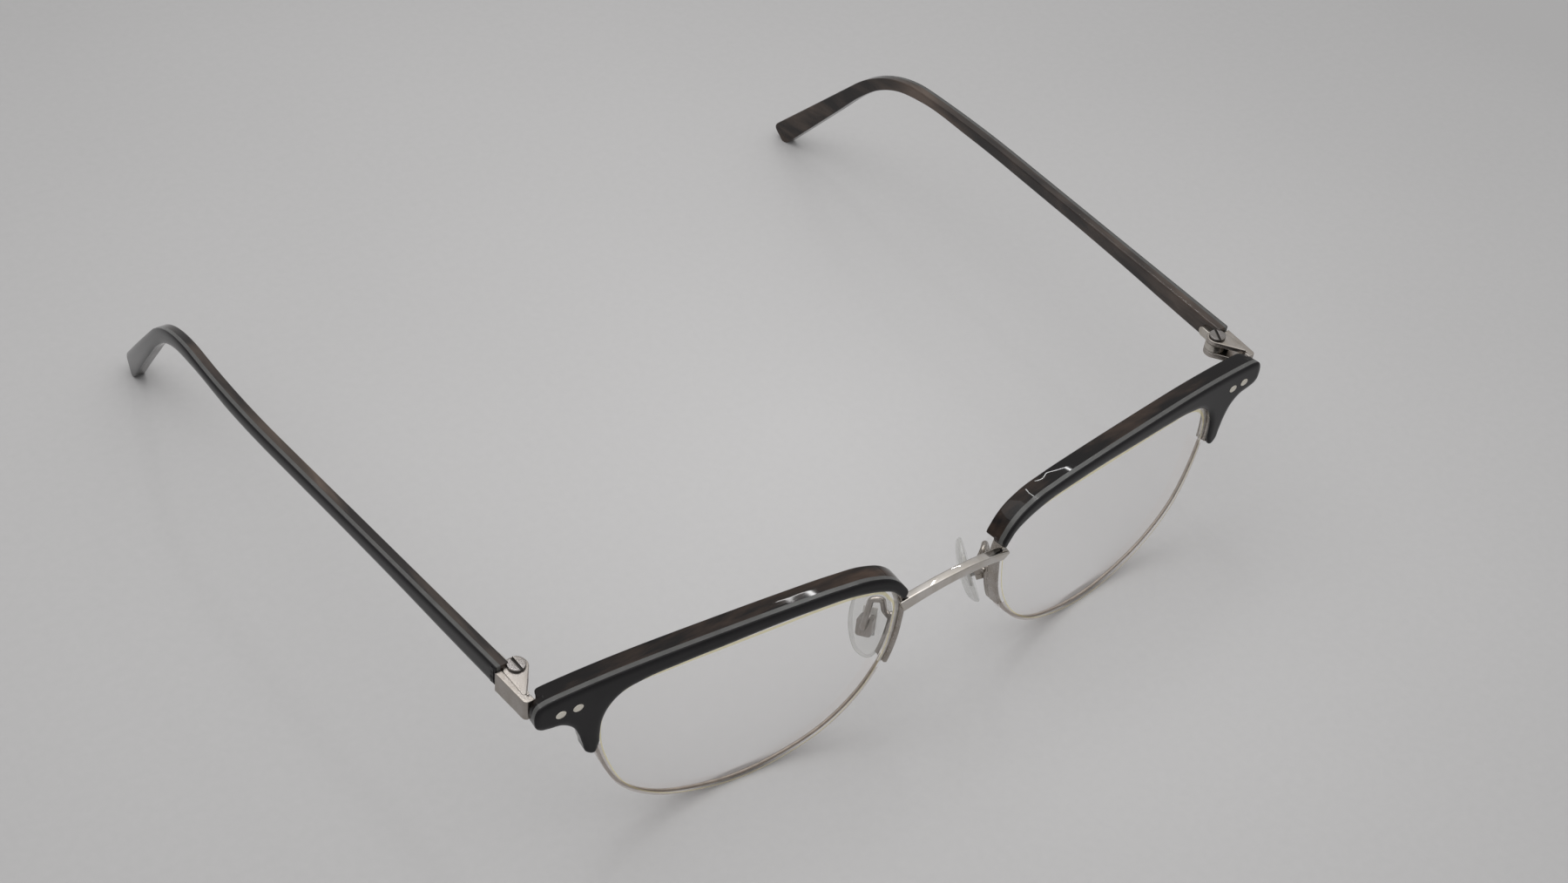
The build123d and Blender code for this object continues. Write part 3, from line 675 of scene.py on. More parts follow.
def nylon(name, colour):
    """Nylon: satin, slightly see-through, uneven along its length."""
    material, tree = new_tree(name)
    cloud = tree.noise(tree.own_place(), 1.2, 3.0)
    tree.surface(principled(tree, {
        "Base Color": tree.ramp(cloud, (0.3, scaled(colour, 0.7)), (0.7, colour)),
        "Roughness": 0.3 + cloud * 0.15, "Subsurface Weight": 0.2,
        "Subsurface Radius": (0.0005, 0.0004, 0.0003)}))
    return material


def ground_edge(name, colour, tint, clear_outside, clear_inside):
    """A ground or bevelled edge of the lens: satin, with fine lines along it.

    The shares say how clear it is from outside the lens and from inside it.
    """
    material, tree = new_tree(name)
    lines = tree.noise(tree.own_place((0.4, 1, 1)), 0.18, 4.0)
    satin = principled(tree, {
        "Base Color": tree.ramp(lines, (0.3, scaled(colour, 0.85)), (0.7, colour)),
        "Roughness": 0.3 + lines * 0.2, "Normal": tree.bump(lines, 0.1, 0.01)})
    inside = tree.node("ShaderNodeNewGeometry", output="Backfacing")
    through = tree.node("ShaderNodeBsdfTransparent", None, {0: (*tint, 1)})
    share = clear_outside + inside * (clear_inside - clear_outside)
    tree.surface(tree.node("ShaderNodeMixShader", None, {0: share, 1: satin, 2: through}))
    return material


def table_top(colour):
    """A matt table top: a soft painted pool of light, dimmer round it, with faint clouds and
    specks.
    """
    material, tree = new_tree("Table")
    speck = tree.noise(tree.own_place(), 1.5, 4.0)
    cloud = tree.noise(tree.own_place(), 160.0, 2.0)
    # painted light: the table's colour falls to POOL_DIMMEST away from the pool's centre
    pool = tree.own_place((1 / POOL_REACH,) * 3, centre=POOL_CENTRE)
    near = tree.node("ShaderNodeTexGradient", {"gradient_type": "SPHERICAL"}, {0: pool}, output=1)
    tree.surface(principled(tree, {
        "Base Color": tree.ramp(near * 0.7 + speck * 0.1 + cloud * 0.2,
                                (0.35, scaled(colour, POOL_DIMMEST)), (0.85, colour)),
        "Roughness": 0.45, "Specular IOR Level": 0.35}))
    return material


# ---- settings ------------------------------------------------------------------------------
def colour_property(name, default, words):
    """A colour that a user may change."""
    return FloatVectorProperty(name=name, description=words, default=default, size=3, min=0,
                               max=1, subtype="COLOR")


class EyeglassesFinish(bpy.types.PropertyGroup):
    """Colours of the eyeglasses."""

    black: colour_property("Black acetate", (0.004, 0.0035, 0.0043), "Front of the laminate")
    pale: colour_property("Pale acetate", (0.088, 0.088, 0.086), "Middle of the laminate")
    brown_dark: colour_property("Brown acetate, dark", (0.0035, 0.0025, 0.0028),
                                "Ground of the brows' back")
    brown_light: colour_property("Brown acetate, light", (0.076, 0.048, 0.034),
                                 "Streaks of the brows' back")
    temple_dark: colour_property("Temple brown, dark", (0.010, 0.007, 0.0065),
                                 "Ground of the temples' back")
    temple_light: colour_property("Temple brown, light", (0.11, 0.079, 0.062),
                                  "Streaks of the temples' back")
    silver: colour_property("Silver", (0.40, 0.37, 0.345), "Rims, end pieces, hinges and arms")
    bridge: colour_property("Bridge", (0.60, 0.57, 0.54), "Polished bridge bar")
    cord: colour_property("Cord", (0.40, 0.33, 0.27), "Nylon cord in the lens groove")
    edge: colour_property("Lens edge", (0.60, 0.55, 0.52), "Ground edge of the lens")
    bevel: colour_property("Lens bevel", (0.95, 0.86, 0.56), "Front bevel of the lens")
    floor: colour_property("Floor", (0.525, 0.52, 0.523), "Table that the glasses stand on")


class EyeglassesSizes(bpy.types.PropertyGroup):
    """Sizes of the finish, in millimetres."""

    swell: FloatProperty(name="Swell", description="How far in the black sheets' edges round",
                         default=1.0, min=0.05, max=1.5)
    back_round: FloatProperty(name="Brow back edge", description="Rounding of the brow's back",
                              default=0.38, min=0.05, max=0.42)
    temple_round: FloatProperty(name="Temple edge", description="Rounding of the temple's edges",
                                default=0.3, min=0.05, max=0.34)
    metal_round: FloatProperty(name="Metal edge", description="Rounding of metal edges",
                               default=0.12, min=0.02, max=0.3)


class EyeglassesCamera(bpy.types.PropertyGroup):
    """Where the view is taken from: round a point on the floor."""

    azimuth: FloatProperty(name="Azimuth", description="0 looks along +Y", default=-42.1095)
    elevation: FloatProperty(name="Elevation", description="Above the horizon", default=42.1122)
    roll: FloatProperty(name="Roll", description="Turn about the line of sight", default=7.3874)
    distance: FloatProperty(name="Distance", description="From the point looked at, in mm",
                            default=394.344)
    lens: FloatProperty(name="Lens", description="Focal length in mm on a 36 mm film",
                        default=52.0)


def settings():
    """The scene's finish, sizes and camera."""
    scene = bpy.context.scene
    return scene.eyeglasses_finish, scene.eyeglasses_sizes, scene.eyeglasses_camera


# ---- operators -----------------------------------------------------------------------------
class BuildBrows(bpy.types.Operator):
    """Build the laminated brow bars"""

    bl_idname = "eyeglasses.build_brows"
    bl_label = "Brow bars"

    def execute(self, context):
        finish, sizes, _ = settings()
        brown = brown_acetate("Brown acetate, brow", finish.brown_dark, finish.brown_light,
                              (0.22, 1, 0.8), 0.24, 0.13)
        # the black front sheet: its edges round in by a share of the brow's breadth
        whole = halves(BROW_LOOP, BROW_NOSE, BROW_LEG, BROW_POINTS)
        breadth = np.linalg.norm(whole[0] - whole[1], axis=1)
        swell = np.clip(SWELL_SHARE * breadth, LEAST_SWELL, sizes.swell)
        swell = running_mean(closed_loop(swell, swell), 15)
        front = sheet(*whole, 0, BLACK_DEPTH, swell, 0.0, on_brow, BLACK_DEPTH - 0.03)
        on_both_sides("brow_face", "brow_front_sheet", [front], "acetate_black",
                      black_acetate(finish.black), sharp=50)

        # the pale middle sheet: a lip over the rim, then the rest, cleared for the rim's seat
        seat = LENS_LOOP + outward(LENS_LOOP) * (RIM_OUTSIDE + SEAT_PLAY)
        cleared = beyond(BROW_LOOP, seat)
        cleared = cleared[np.linalg.norm(cleared - np.roll(cleared, 1, 0), axis=1) > 1e-4]
        behind = halves(cleared, BEHIND_NOSE, BROW_LEG, BROW_POINTS)
        lip = sheet(*whole, BLACK_DEPTH, LIP_DEPTH, 0.0, 0.0, on_brow)
        rest = sheet(*behind, LIP_DEPTH + PART_GAP, STRIPE_DEPTH, 0.0, 0.0, on_brow)
        on_both_sides("brow_stripe", "brow_middle_sheet", [lip, rest], "acetate_pale",
                      pale_acetate(finish.pale))

        # the brown back sheet: thin all over, and thick but for the nose, the leg and the end
        thin_loop = closed_loop(*behind)
        bare = (thin_loop[:, 0] > THICK_END) | (thin_loop[:, 1] < THICK_LEG)
        thin_round = THIN_ROUND * running_mean(bare.astype(float), 5)
        thin = sheet(*behind, STRIPE_DEPTH, PLATE_DEPTH, 0.0, thin_round, on_brow)
        thick = clipped(cleared, NOSE_CUT, NOSE_CUT_FACES)
        thick = clipped(clipped(thick, (THICK_END, 0), (-1, 0)), (0, THICK_LEG), (0, 1))
        ends = halves(thick, NOSE_CUT, (THICK_END, 14.0), BROW_POINTS)
        past = np.clip(closed_loop(*ends)[:, 0] - (THICK_END - END_ROUND), 0, END_ROUND)
        back = BROW_DEPTH - END_ROUND + np.sqrt(END_ROUND**2 - past**2)
        full = sheet(*ends, PLATE_DEPTH + PART_GAP, back, 0.0, sizes.back_round, on_brow)
        on_both_sides("brow_back", "brow_back_sheet", [thin, full], "acetate_brown", brown)
        return {"FINISHED"}


def running_mean(values, width):
    """Values evened out round a closed loop by a running mean."""
    total = sum(np.roll(values, k) for k in range(-(width // 2), width // 2 + 1))
    return total / width


class BuildRivets(bpy.types.Operator):
    """Build the rivet heads on the brow ends"""

    bl_idname = "eyeglasses.build_rivets"
    bl_label = "Rivets"

    def execute(self, context):
        shine = metal("Rivet metal", (0.80, 0.77, 0.69), 0.3, 0.25)
        shells = []
        for at in np.array([(*rivet, 0) for rivet in RIVETS]):
            def place(points, at=at):
                return on_brow(points + at)

            shells += [star(circle(1, 40) * RIVET_HEAD, RIVET_DOME, place),
                       star(circle(SHANK_RADIUS, 32), RIVET_SHANK, place)]
        on_both_sides("brow_rivets", "rivets", shells, "rivet_metal", shine)
        return {"FINISHED"}


class BuildRims(bpy.types.Operator):
    """Build the upper rims and the nylon rails inside them"""

    bl_idname = "eyeglasses.build_rims"
    bl_label = "Upper rims"

    def execute(self, context):
        finish, _, _ = settings()
        rim = strip_on_face(
            upper_line((RIM_OUTSIDE + RIM_INSIDE) / 2), (RIM_FRONT + RIM_BACK) / 2,
            rounded_box(RIM_OUTSIDE - RIM_INSIDE, RIM_BACK - RIM_FRONT, RIM_ROUND))
        on_both_sides("upper_rim", "upper_rim_strip", [rim], "rim_metal",
                      metal("Rim metal", finish.silver, 0.26, 0.3))
        rail = strip_on_face(upper_line(LINER_MIDDLE), GROOVE_MIDDLE,
                             rounded_box(*LINER_SIZE, LINER_ROUND))
        on_both_sides("rim_liner", "rim_rail", [rail], "liner_nylon",
                      nylon("Nylon rail", (0.80, 0.77, 0.74)))
        return {"FINISHED"}


def upper_line(outside):
    """The lens's outline above the rim's two ends, moved outwards, from nose to ear."""
    loop = respaced_loop(LENS_LOOP, 500)
    loop = loop + outward(loop) * outside
    line = run_of(loop, loop[:, 1] > rim_limit(loop[:, 0]))
    return respace(line if line[0, 0] < 0 else line[::-1], 300)


def run_of(loop, kept):
    """The one unbroken run of kept points on a closed loop."""
    start = np.argmax(kept & ~np.roll(kept, 1))
    return np.roll(loop, -start, 0)[:kept.sum()]


def rim_limit(across):
    """How far down the rim reaches, at a place across the lens."""
    return np.interp(across, (-RIM_ENDS_AT, RIM_ENDS_AT), (RIM_ENDS["nose"], RIM_ENDS["ear"]))


def strip_on_face(line, depth, section, ends=0.15):
    """A section carried along an open line in the lens plane, at a depth, its first axis out
    of the lens."""
    heading = unit(np.gradient(line, axis=0))
    out = np.stack([-heading[:, 1], heading[:, 0]], 1)
    out *= np.sign((out * line).sum())
    spine = np.column_stack([line, np.full(len(line), depth)])
    return sweep(on_face(spine), section, out @ FACE_AXES[:2], ends)


class BuildLenses(bpy.types.Operator):
    """Build the lenses and the cords that hold them"""

    bl_idname = "eyeglasses.build_lenses"
    bl_label = "Lenses and cords"

    def execute(self, context):
        finish, _, _ = settings()
        clear = clear_material("Clear lens", (0.992, 0.99, 0.99), 0.015, 0.02)
        ground = ground_edge("Ground lens edge", finish.edge, (1.0, 0.98, 0.97), 0.4, 0.97)
        bevelled = ground_edge("Lens bevel", finish.bevel, (1.0, 0.95, 0.72), 0.6, 0.9)
        loop = respaced_loop(LENS_LOOP, 360)

        rows, kinds = lens_rows(loop)
        marks = np.repeat(kinds, len(loop)).reshape(len(kinds), -1)
        behind_rim = loop[:, 1] > rim_limit(loop[:, 0]) - CLEAR_BELOW_RIM
        marks[:, behind_rim] *= np.array(kinds)[:, None] == LINE_KIND
        on_both_sides("lens", "clear_lens", [star(loop, rows, on_face)], "lens_clear",
                      (clear, ground, bevelled), weigh=False, marks=[marks.ravel()])

        spine = loop - outward(loop) * CORD_SINK
        lower = run_of(spine, spine[:, 1] < rim_limit(spine[:, 0]) + CORD_PAST_RIM)
        cord = strip_on_face(lower, GROOVE_MIDDLE, circle(CORD_RADIUS, 14), 0.05)
        on_both_sides("lens_cord", "nylon_cord", [cord], "cord_nylon",
                      nylon("Nylon cord", finish.cord))
        return {"FINISHED"}


def lens_rows(loop, rings=12):
    """The lens's half section, from the middle of its front to the middle of its back, as
    (share, inset, depth) for star, and the kind of finish of each strip between two rows.

    Both faces are spherical. The cream line is wider, and lies further in, at the two ends and
    high up. The edge has a groove with a rounded floor.
    """
    front, back = spherical(LENS_FRONT, FRONT_CURVE), spherical(LENS_BACK, BACK_CURVE)
    high_up = np.clip((loop[:, 1] - HIGH_FROM) / HIGH_OVER, 0, 1)
    at_end = outward(loop)[:, 0] ** 2
    line_outside = LINE_IN + np.maximum(0.5 * at_end, 0.7 * high_up)
    line_inside = line_outside + LINE_WIDTH + 0.3 * high_up
    low, high = GROOVE_MIDDLE - GROOVE_WIDTH / 2, GROOVE_MIDDLE + GROOVE_WIDTH / 2
    rows = [(share, line_inside, front) for share in np.linspace(0, 1, rings + 1)]
    rows += [(1, line_outside, front), (1, 0, lambda flat: front(flat) + FRONT_BEVEL),
             (1, 0, low), (1, GROOVE_FLOOR - 0.1, low + 0.02), (1, GROOVE_FLOOR, low + 0.14),
             (1, GROOVE_FLOOR, high - 0.14), (1, GROOVE_FLOOR - 0.1, high - 0.02),
             (1, 0, high), (1, 0, lambda flat: back(flat) - BACK_BEVEL),
             (1, 0.06, lambda flat: back(flat) - 0.1)]
    rows += [(share, BACK_BEVEL, back) for share in np.linspace(1, 0, rings + 1)]
    kinds = [POLISHED] * rings + [LINE_KIND] + [GROUND] * 10 + [POLISHED] * rings
    return rows, kinds


class BuildBridge(bpy.types.Operator):
    """Build the bridge bar between the rims"""

    bl_idname = "eyeglasses.build_bridge"
    bl_label = "Bridge"

    def execute(self, context):
        finish, _, _ = settings()
        polished = metal("Polished bridge", finish.bridge, 0.05, 0.5, (0.2, 1, 1))
        x = np.linspace(-BRIDGE_REACH, BRIDGE_REACH, 61)
        share = (x / BRIDGE_REACH) ** 2
        path = np.column_stack([x, BRIDGE_FRONT + BRIDGE_BOW * share,
                                BRIDGE_TOP - BRIDGE_FALL * share])
        twist = np.sign(x) * np.abs(x / BRIDGE_REACH) ** 1.5 * BRIDGE_TWIST
        c, s = np.cos(twist), np.sin(twist)
        turns = np.stack([np.stack([c, s], -1), np.stack([-s, c], -1)], 1)
        waist = 1 - BRIDGE_WAIST * (1 - share)
        sections = rounded_box(*BRIDGE_SIZE, 0.28, 6) @ turns * waist[:, None, None]
        finish_piece("bridge_bar", [sweep(path, sections, (0, 1, 0))], 1, "front", ["bridge"],
                     "bridge_metal", polished, sharp=50)
        return {"FINISHED"}


class BuildHinges(bpy.types.Operator):
    """Build the end pieces, hinge screws and hinge leaves"""

    bl_idname = "eyeglasses.build_hinges"
    bl_label = "End pieces and hinges"

    def execute(self, context):
        finish, sizes, _ = settings()
        satin = metal("End piece metal", finish.silver, 0.30, 0.28, (1, 1, 0.25))
        steel = metal("Screw steel", (0.27, 0.255, 0.25), 0.26, 0.2)
        # painted shade: near-black metal for the base disc under the slot, so that the slot reads
        # dark
        slot_shade = metal("Slot floor, painted shade", (0.05, 0.047, 0.045), 0.45, 0.2)
        leaf_metal = metal("Hinge leaf metal", (0.50, 0.47, 0.43), 0.3, 0.25)
        edge = sizes.metal_round
        shells = [end_leg(edge), end_plate(edge), knuckle_plate("top", edge),
                  knuckle_plate("bottom", edge), post()]
        on_both_sides("end_piece", "end_piece_metal", shells, "end_piece_metal", satin)
        for side, sign in SIDES.items():
            shells = screw(SLOT_TURNS[side])
            # the first shell, the base disc under the slot, takes the painted slot shade
            marks = [np.full(len(quads), number == 0) for number, (_, quads) in enumerate(shells)]
            finish_piece(f"slotted_screw_{side}", shells, sign, "front", [f"hinge_screw_{side}"],
                         "screw_metal", (steel, slot_shade), marks=marks)
        on_both_sides("temple_hinge", "hinge_leaf", leaf(edge), "hinge_metal", leaf_metal,
                      "temple_{}_arm")
        return {"FINISHED"}


def plan_sheet(loop, heights, first, last, edge):
    """A plate that lies flat between two heights, with its edges rounded."""
    return sheet(*halves(loop, first, last, 60), *heights, edge, edge, flat_plan)


def end_leg(edge):
    """The leg of the end piece: round the corner and back to the temple, rounded at its bend."""
    start = CORNER_X - CORNER_REACH
    outer = rounded_corners([(start, CORNER_Y + CORNER_RISE), (CORNER_X, CORNER_Y),
                             (TEMPLE_X, BUTT_Y)], CORNER_OUTSIDE)
    inner = rounded_corners([(start, CORNER_Y + LEG_THICK),
                             (CORNER_X - LEG_THICK, CORNER_Y + LEG_THICK),
                             (TEMPLE_X - LEG_THICK, BUTT_Y)], CORNER_INSIDE)
    top, bottom = respace(outer, 60), respace(inner, 60)
    middle = (top[:1] + bottom[:1]) / 2
    end = (top[-1:] + bottom[-1:]) / 2
    top, bottom = np.vstack([middle, top, end]), np.vstack([middle, bottom, end])
    return sheet(top, bottom, LEG_BOTTOM, LEG_TOP, edge, edge, flat_plan)


def end_plate(edge):
    """The plate behind the brow's end, with the tongue that the rivets hold."""
    loop = respace(rounded_corners(TONGUE_OUTLINE + TONGUE_OUTLINE[:1], 0.2), 240)[:-1]
    top, bottom = halves(loop, (27.4, 13.8), (34.85, 14.2), 110)
    return sheet(top, bottom, PLATE_DEPTH + 0.04, PLATE_BACK, 0.02, edge, on_brow)


def knuckle_plate(ring, edge):
    """A hinge ring with its plate, which fills the space between the ring and the leg."""
    hinge, tip = np.array((HINGE_X, HINGE_Y)), np.array(PLATE_TIP)
    loop = hull(np.vstack([circle(KNUCKLE_R, 90, hinge), circle(TIP_R, 24, tip),
                           circle(HEEL_R, 24, PLATE_HEEL)]))
    ahead = unit(tip - hinge)
    return plan_sheet(respaced_loop(loop, 280), RINGS[ring], tip + ahead * TIP_R,
                      hinge - ahead * KNUCKLE_R, edge)


def post():
    """The post that joins the two plates beside the leg."""
    middle, half = np.array(POST_MIDDLE), np.array((0, POST_SIZE[1] / 2))
    return plan_sheet(rounded_box(*POST_SIZE, 0.3) + middle,
                      (RINGS["bottom"][1] - 0.1, RINGS["top"][0] + 0.1),
                      middle - half, middle + half, POST_ROUND)


def screw(turn):
    """The screw: a shank, and a head of two half discs on a thin base, its slot turned."""
    floor = RINGS["top"][1]
    top = floor + 0.02 + SCREW_HEAD
    hinge = np.array((HINGE_X, HINGE_Y))
    shells = [disc(hinge, SCREW_HEAD_R, (floor + 0.01, floor + 0.24), 0.03),
              disc(hinge, PIN_R, (RINGS["bottom"][0] - 0.1, floor), 0.08)]
    start = asin(SLOT_WIDTH / 2 / SCREW_HEAD_R)
    for flip in (0, pi):
        angle = np.linspace(start, pi - start, 48) + turn + flip
        arc = hinge + SCREW_HEAD_R * np.stack([np.cos(angle), np.sin(angle)], 1)
        chord = np.linspace(arc[-1], arc[0], 24)
        top_half, bottom_half = respace(arc, 60), respace(chord[::-1], 60)
        shells.append(sheet(top_half, bottom_half, floor + 0.2, top, 0.01, 0.09, flat_plan))
    return shells


def disc(centre, radius, heights, edge):
    """A round plate with rounded edges."""
    low, high = heights
    rows = [(0, 0, low), (1 - edge / radius, 0, low), (1, 0, low + edge), (1, 0, high - edge),
            (1 - 0.3 * edge / radius, 0, high - 0.3 * edge), (1 - edge / radius, 0, high),
            (0, 0, high)]
    at = np.array((*centre, 0))
    return star(circle(radius, 48), rows, lambda points: points + at)


def leaf(edge):
    """The hinge leaf on the temple: a rounded plate, a neck and the middle ring."""
    middle = np.array((TEMPLE_START + LEAF_LENGTH / 2 + LEAF_AHEAD, sum(RINGS["middle"]) / 2))
    half = np.array((LEAF_LENGTH / 2, 0))
    outline = rounded_box(LEAF_LENGTH, LEAF_HEIGHT, 0.7, 8) + middle
    top, bottom = halves(outline, middle - half, middle + half, 40)
    plate = sheet(top, bottom, TEMPLE_THICK + 0.01, TEMPLE_THICK + LEAF_THICK, 0.02, edge,
                  on_temple)
    inner = TEMPLE_X + tan(SPLAY) * (middle[0] - TEMPLE_START) - TEMPLE_THICK / cos(SPLAY)
    across = inner - NECK_IN
    box = rounded_box(NECK_THICK, NECK_END - HINGE_Y, 0.1, 3) + (across, (NECK_END + HINGE_Y) / 2)
    neck = plan_sheet(box, RINGS["middle"], (across, HINGE_Y), (across, NECK_END), 0.08)
    return [plate, neck, disc((HINGE_X, HINGE_Y), KNUCKLE_R, RINGS["middle"], edge)]


class BuildTemples(bpy.types.Operator):
    """Build the laminated temples"""

    bl_idname = "eyeglasses.build_temples"
    bl_label = "Temples"

    def execute(self, context):
        finish, sizes, _ = settings()
        brown = brown_acetate("Brown acetate, temple", finish.temple_dark, finish.temple_light,
                              (1, 0.16, 0.8), 0.45)
        top, bottom = temple_outlines()
        for layer, slot, material, round_out, round_in, drop in (
            ("face", "acetate_black", black_acetate(finish.black),
             sizes.swell, 0.0, sizes.temple_round),
            ("stripe", "acetate_pale", pale_acetate(finish.pale), 0.0, 0.0, None),
            ("back", "acetate_brown", brown, 0.0, sizes.temple_round, None),
        ):
            shell = sheet(top, bottom, *TEMPLE_LAYERS[layer], round_out, round_in, on_temple,
                          drop)
            on_both_sides(f"temple_{layer}", f"temple_{layer}_sheet", [shell], slot, material,
                          "temple_{}_arm")
        dress("temple_core", metal("Core wire", (0.6, 0.58, 0.55), 0.35, 0.3))
        return {"FINISHED"}


def temple_outlines(count=240):
    """The temple's side view as its top and its bottom outline, from the butt to the tip."""
    end = TOP_FALL + EAR_TURN
    start = np.array((TEMPLE_START, TOP_Z))
    bend = start + np.array((1, -tan(TOP_FALL))) * (STRAIGHT_TO - TEMPLE_START)
    centre = bend - np.array((sin(TOP_FALL), cos(TOP_FALL))) * EAR_RADIUS
    angle = np.linspace(TOP_FALL, end, 60)
    arc = centre + EAR_RADIUS * np.stack([np.sin(angle), np.cos(angle)], 1)
    tip = arc[-1] + np.array((cos(end), -sin(end))) * EAR_LENGTH
    heel = tip - np.array((sin(end), cos(end))) * PADDLE_WIDTH
    under = smooth([*TEMPLE_UNDER, heel], 12, closed=False)
    butt, last = (start + under[0]) / 2, (tip + heel) / 2

    def outline(line, tip_corner):
        first = rounded_corners([butt, line[0], line[3]], BUTT_CORNER)
        final = rounded_corners([line[-3], tip_corner, last], TIP_CORNER, 12)
        body = respace(np.vstack([first[-1:], line[3:-3], final[:1]]), count)
        return np.vstack([first[:-1], body, final[1:]])

    top_line = np.vstack([np.linspace(start, arc[0], 40)[:-1], arc,
                          np.linspace(arc[-1], tip, 16)[1:]])
    shorter = respace(top_line, 200)
    return outline(shorter, tip), outline(respace(under, 200), heel)


class BuildPads(bpy.types.Operator):
    """Build the nose pads and their arms"""

    bl_idname = "eyeglasses.build_pads"
    bl_label = "Nose pads"

    def execute(self, context):
        finish, _, _ = settings()
        silver = metal("Pad metal", finish.silver, 0.22, 0.25)
        soft = clear_material("Clear soft plastic", (0.94, 0.94, 0.935), 0.08, 0.1, 1.65)
        # painted shade: a greyer, cloudier clear plastic for the pad's rim, standing in for the
        # darker look refraction gives its edge
        painted_edge_shade = clear_material("Clear pad edge, painted shade", (0.80, 0.80, 0.79), 0.25, 0.12, 1.8)
        loop = respaced_loop(smooth(PAD_OUTLINE, 12), 120)
        dome = spherical(PAD_DEPTH, -PAD_DOME)
        rows = [(share, PAD_EDGE, dome) for share in np.linspace(0, 1, 8)]
        rows += [(1, 0.12, lambda flat: dome(flat) - 0.12),
                 (1, 0, lambda flat: dome(flat) - PAD_EDGE), (1, 0, 0.25), (1, 0.08, 0.08)]
        rows += [(share, 0.25, 0.0) for share in np.linspace(1, 0, 5)]
        # the rim rows take the painted edge shade, the rest the clear plastic
        marks = np.repeat([0] * 7 + [1] * 5 + [0] * 4, len(loop))
        on_both_sides("nose_pad", "clear_pad", [star(loop, rows, on_pad)], "pad_clear",
                      (soft, painted_edge_shade), "nose_pad_{}_rocker", weigh=False, marks=[marks])
        wire = sweep(arm_path(), circle(ARM_RADIUS, 18), (0.3, 1, 0.1), 0.08)
        on_both_sides("pad_arm", "pad_wire", [wire, arm_foot()], "pad_metal", silver)
        dress("pad_box", silver)
        dress("pad_insert", nylon("Pad insert", (0.66, 0.64, 0.62)))
        dress("pad_pin", silver)
        return {"FINISHED"}


def arm_path():
    """The arm's wire: from its foot on the rim up, over and down to the box."""
    root, behind = on_face(np.array([(*ARM_ROOT, FOOT_BACK - 0.2), (*ARM_ROOT, FOOT_BACK + 1.5)]))
    box_back = PAD_PIVOT - BOX_BEHIND_PIN
    end, before = on_pad(np.array([(0, 0.2, box_back), (0, 0.2, box_back - ARM_LEAD)]))
    return respace(rounded_corners([root, behind, *ARM_TOPS, before, end], 0.55, 10), 90)


def arm_foot():
    """The arm's foot: a strip along the back of the rim's nasal end."""
    line = upper_line(0.4)
    foot = line[(line[:, 0] < 0) & (line[:, 1] < FOOT_TOP)]
    return strip_on_face(foot, (RIM_BACK + FOOT_BACK) / 2,
                         rounded_box(FOOT_WIDTH, FOOT_BACK - RIM_BACK, 0.12), 0.1)


class BuildStage(bpy.types.Operator):
    """Build the table, the light and the camera"""

    bl_idname = "eyeglasses.build_stage"
    bl_label = "Stage"

    def execute(self, context):
        finish, _, view = settings()
        x, y = np.meshgrid((-TABLE_HALF, 0, TABLE_HALF), (-TABLE_HALF, 0, TABLE_HALF))
        points, faces = grid(np.stack([x, y, np.zeros_like(x)], -1))
        mesh = bpy.data.meshes.new("table")
        mesh.from_pydata((points * MM).tolist(), [], faces[:, ::-1].tolist())
        table = bpy.data.objects.new("table", mesh)
        mesh.materials.append(table_top(finish.floor))
        bpy.context.scene.collection.objects.link(table)
        sky_and_lamps()
        place_camera(view)
        bpy.context.scene.view_settings.view_transform = "Standard"
        return {"FINISHED"}


def sky_and_lamps():
    """A room that is brighter overhead, a wide lamp like a window and two thin tubes."""
    world = bpy.data.worlds.new("Room")
    bpy.context.scene.world = world
    tree = Tree(world)
    way = tree.node("ShaderNodeTexCoord", output="Generated")
    height = tree.node("ShaderNodeSeparateXYZ", None, {0: way}, output=2)
    tree.surface(tree.node("ShaderNodeBackground", None,
                           {0: tree.ramp(height, *SKY), 1: SKY_STRENGTH}),
                 "ShaderNodeOutputWorld")
    for name, place, width, height, power, roll in LAMPS:
        light = bpy.data.lights.new(name, "AREA")
        light.shape, light.size, light.size_y, light.energy = "RECTANGLE", width, height, power
        lamp = bpy.data.objects.new(name, light)
        lamp.location = place
        aim = (-Vector(place)).to_track_quat("-Z", "Y").to_matrix()
        lamp.rotation_euler = (aim @ Matrix.Rotation(radians(roll), 3, "Z")).to_euler()
        bpy.context.scene.collection.objects.link(lamp)


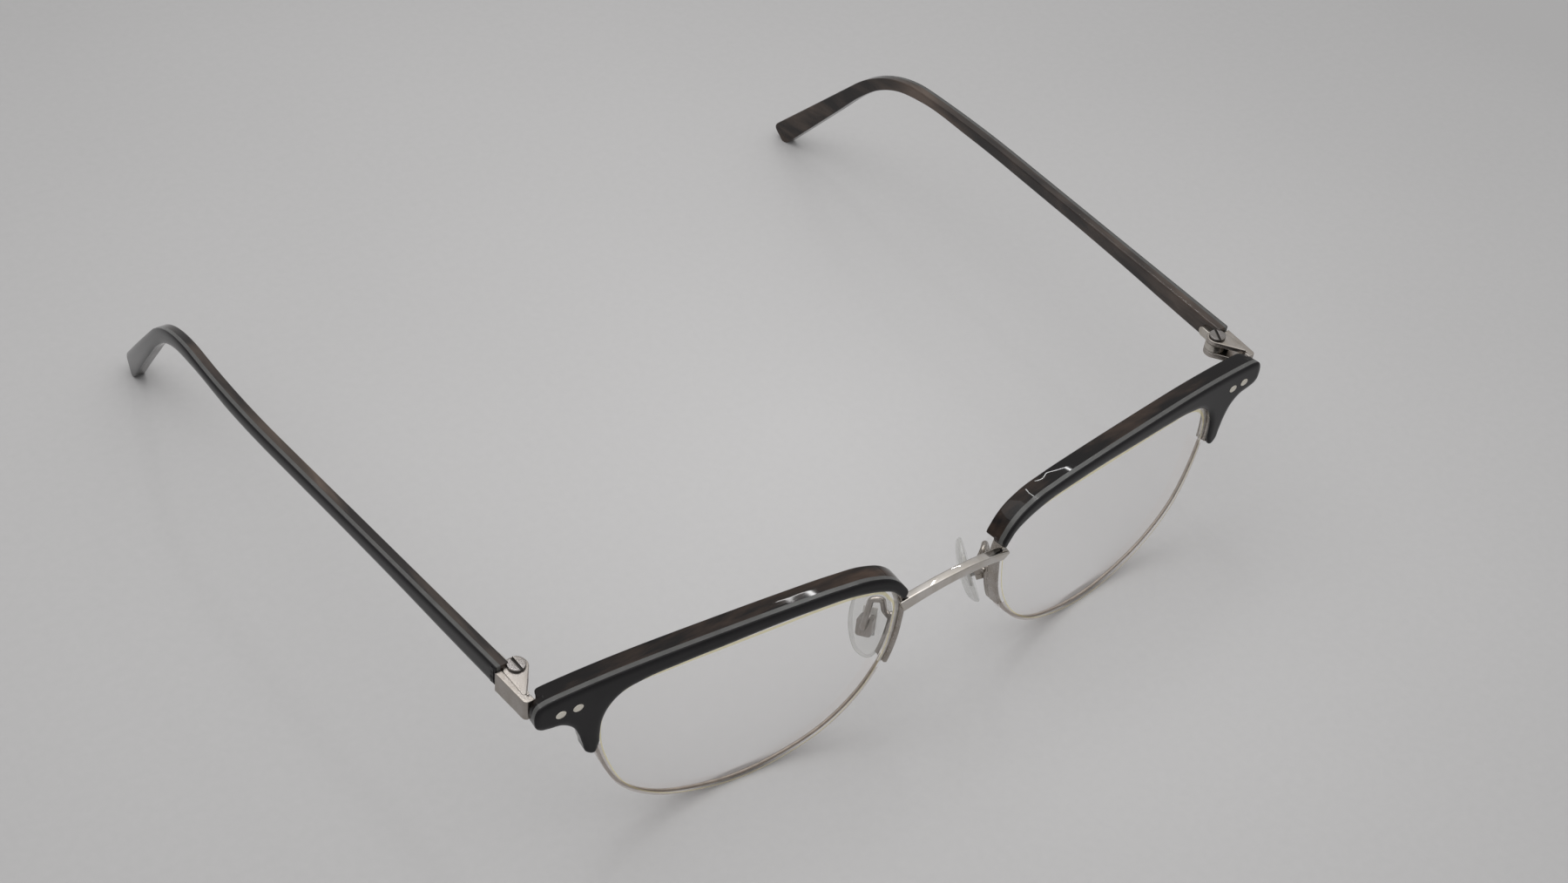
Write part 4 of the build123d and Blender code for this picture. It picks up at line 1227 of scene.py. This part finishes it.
def place_camera(view):
    """The camera: round a point on the table, by azimuth, elevation, roll and distance."""
    a, e, roll = radians(view.azimuth), radians(view.elevation), radians(view.roll)
    back = Vector((sin(a) * cos(e), -cos(a) * cos(e), sin(e)))
    level = Vector((cos(a), sin(a), 0))
    up = back.cross(level)
    right = cos(roll) * level + sin(roll) * up
    up = -sin(roll) * level + cos(roll) * up
    place = (Vector(LOOKED_AT) + back * view.distance) * MM
    lens = bpy.data.cameras.new("View")
    lens.lens, lens.sensor_width, lens.clip_start = view.lens, FILM_WIDTH, 0.01
    camera = bpy.data.objects.new("View", lens)
    turn = Matrix((right, up, back)).transposed().to_4x4()
    camera.matrix_world = Matrix.Translation(place) @ turn
    bpy.context.scene.collection.objects.link(camera)
    bpy.context.scene.camera = camera


# ---- add-on --------------------------------------------------------------------------------
STEPS = (BuildStage, BuildBrows, BuildRivets, BuildRims, BuildLenses, BuildBridge, BuildHinges,
         BuildTemples, BuildPads)


class EyeglassesPanel(bpy.types.Panel):
    """Buttons for each group of pieces"""

    bl_idname = "VIEW3D_PT_eyeglasses"
    bl_label = "Eyeglasses"
    bl_space_type = "VIEW_3D"
    bl_region_type = "UI"
    bl_category = "Eyeglasses"

    def draw(self, context):
        for step in STEPS:
            self.layout.operator(step.bl_idname)
        for group in settings():
            for name in group.__annotations__:
                self.layout.prop(group, name)


GROUPS = {"eyeglasses_finish": EyeglassesFinish, "eyeglasses_sizes": EyeglassesSizes,
          "eyeglasses_camera": EyeglassesCamera}


def register():
    """Register the classes and put the settings on the scene."""
    for kind in (*GROUPS.values(), *STEPS, EyeglassesPanel):
        bpy.utils.register_class(kind)
    for name, group in GROUPS.items():
        setattr(bpy.types.Scene, name, PointerProperty(type=group))


def unregister():
    """Take the settings off the scene and unregister the classes."""
    for name in GROUPS:
        delattr(bpy.types.Scene, name)
    for kind in (EyeglassesPanel, *STEPS, *GROUPS.values()):
        bpy.utils.unregister_class(kind)


def main():
    """Build everything in order."""
    register()
    for step in STEPS:
        group, name = step.bl_idname.split(".")
        getattr(getattr(bpy.ops, group), name)()


if __name__ == "__main__":
    main()
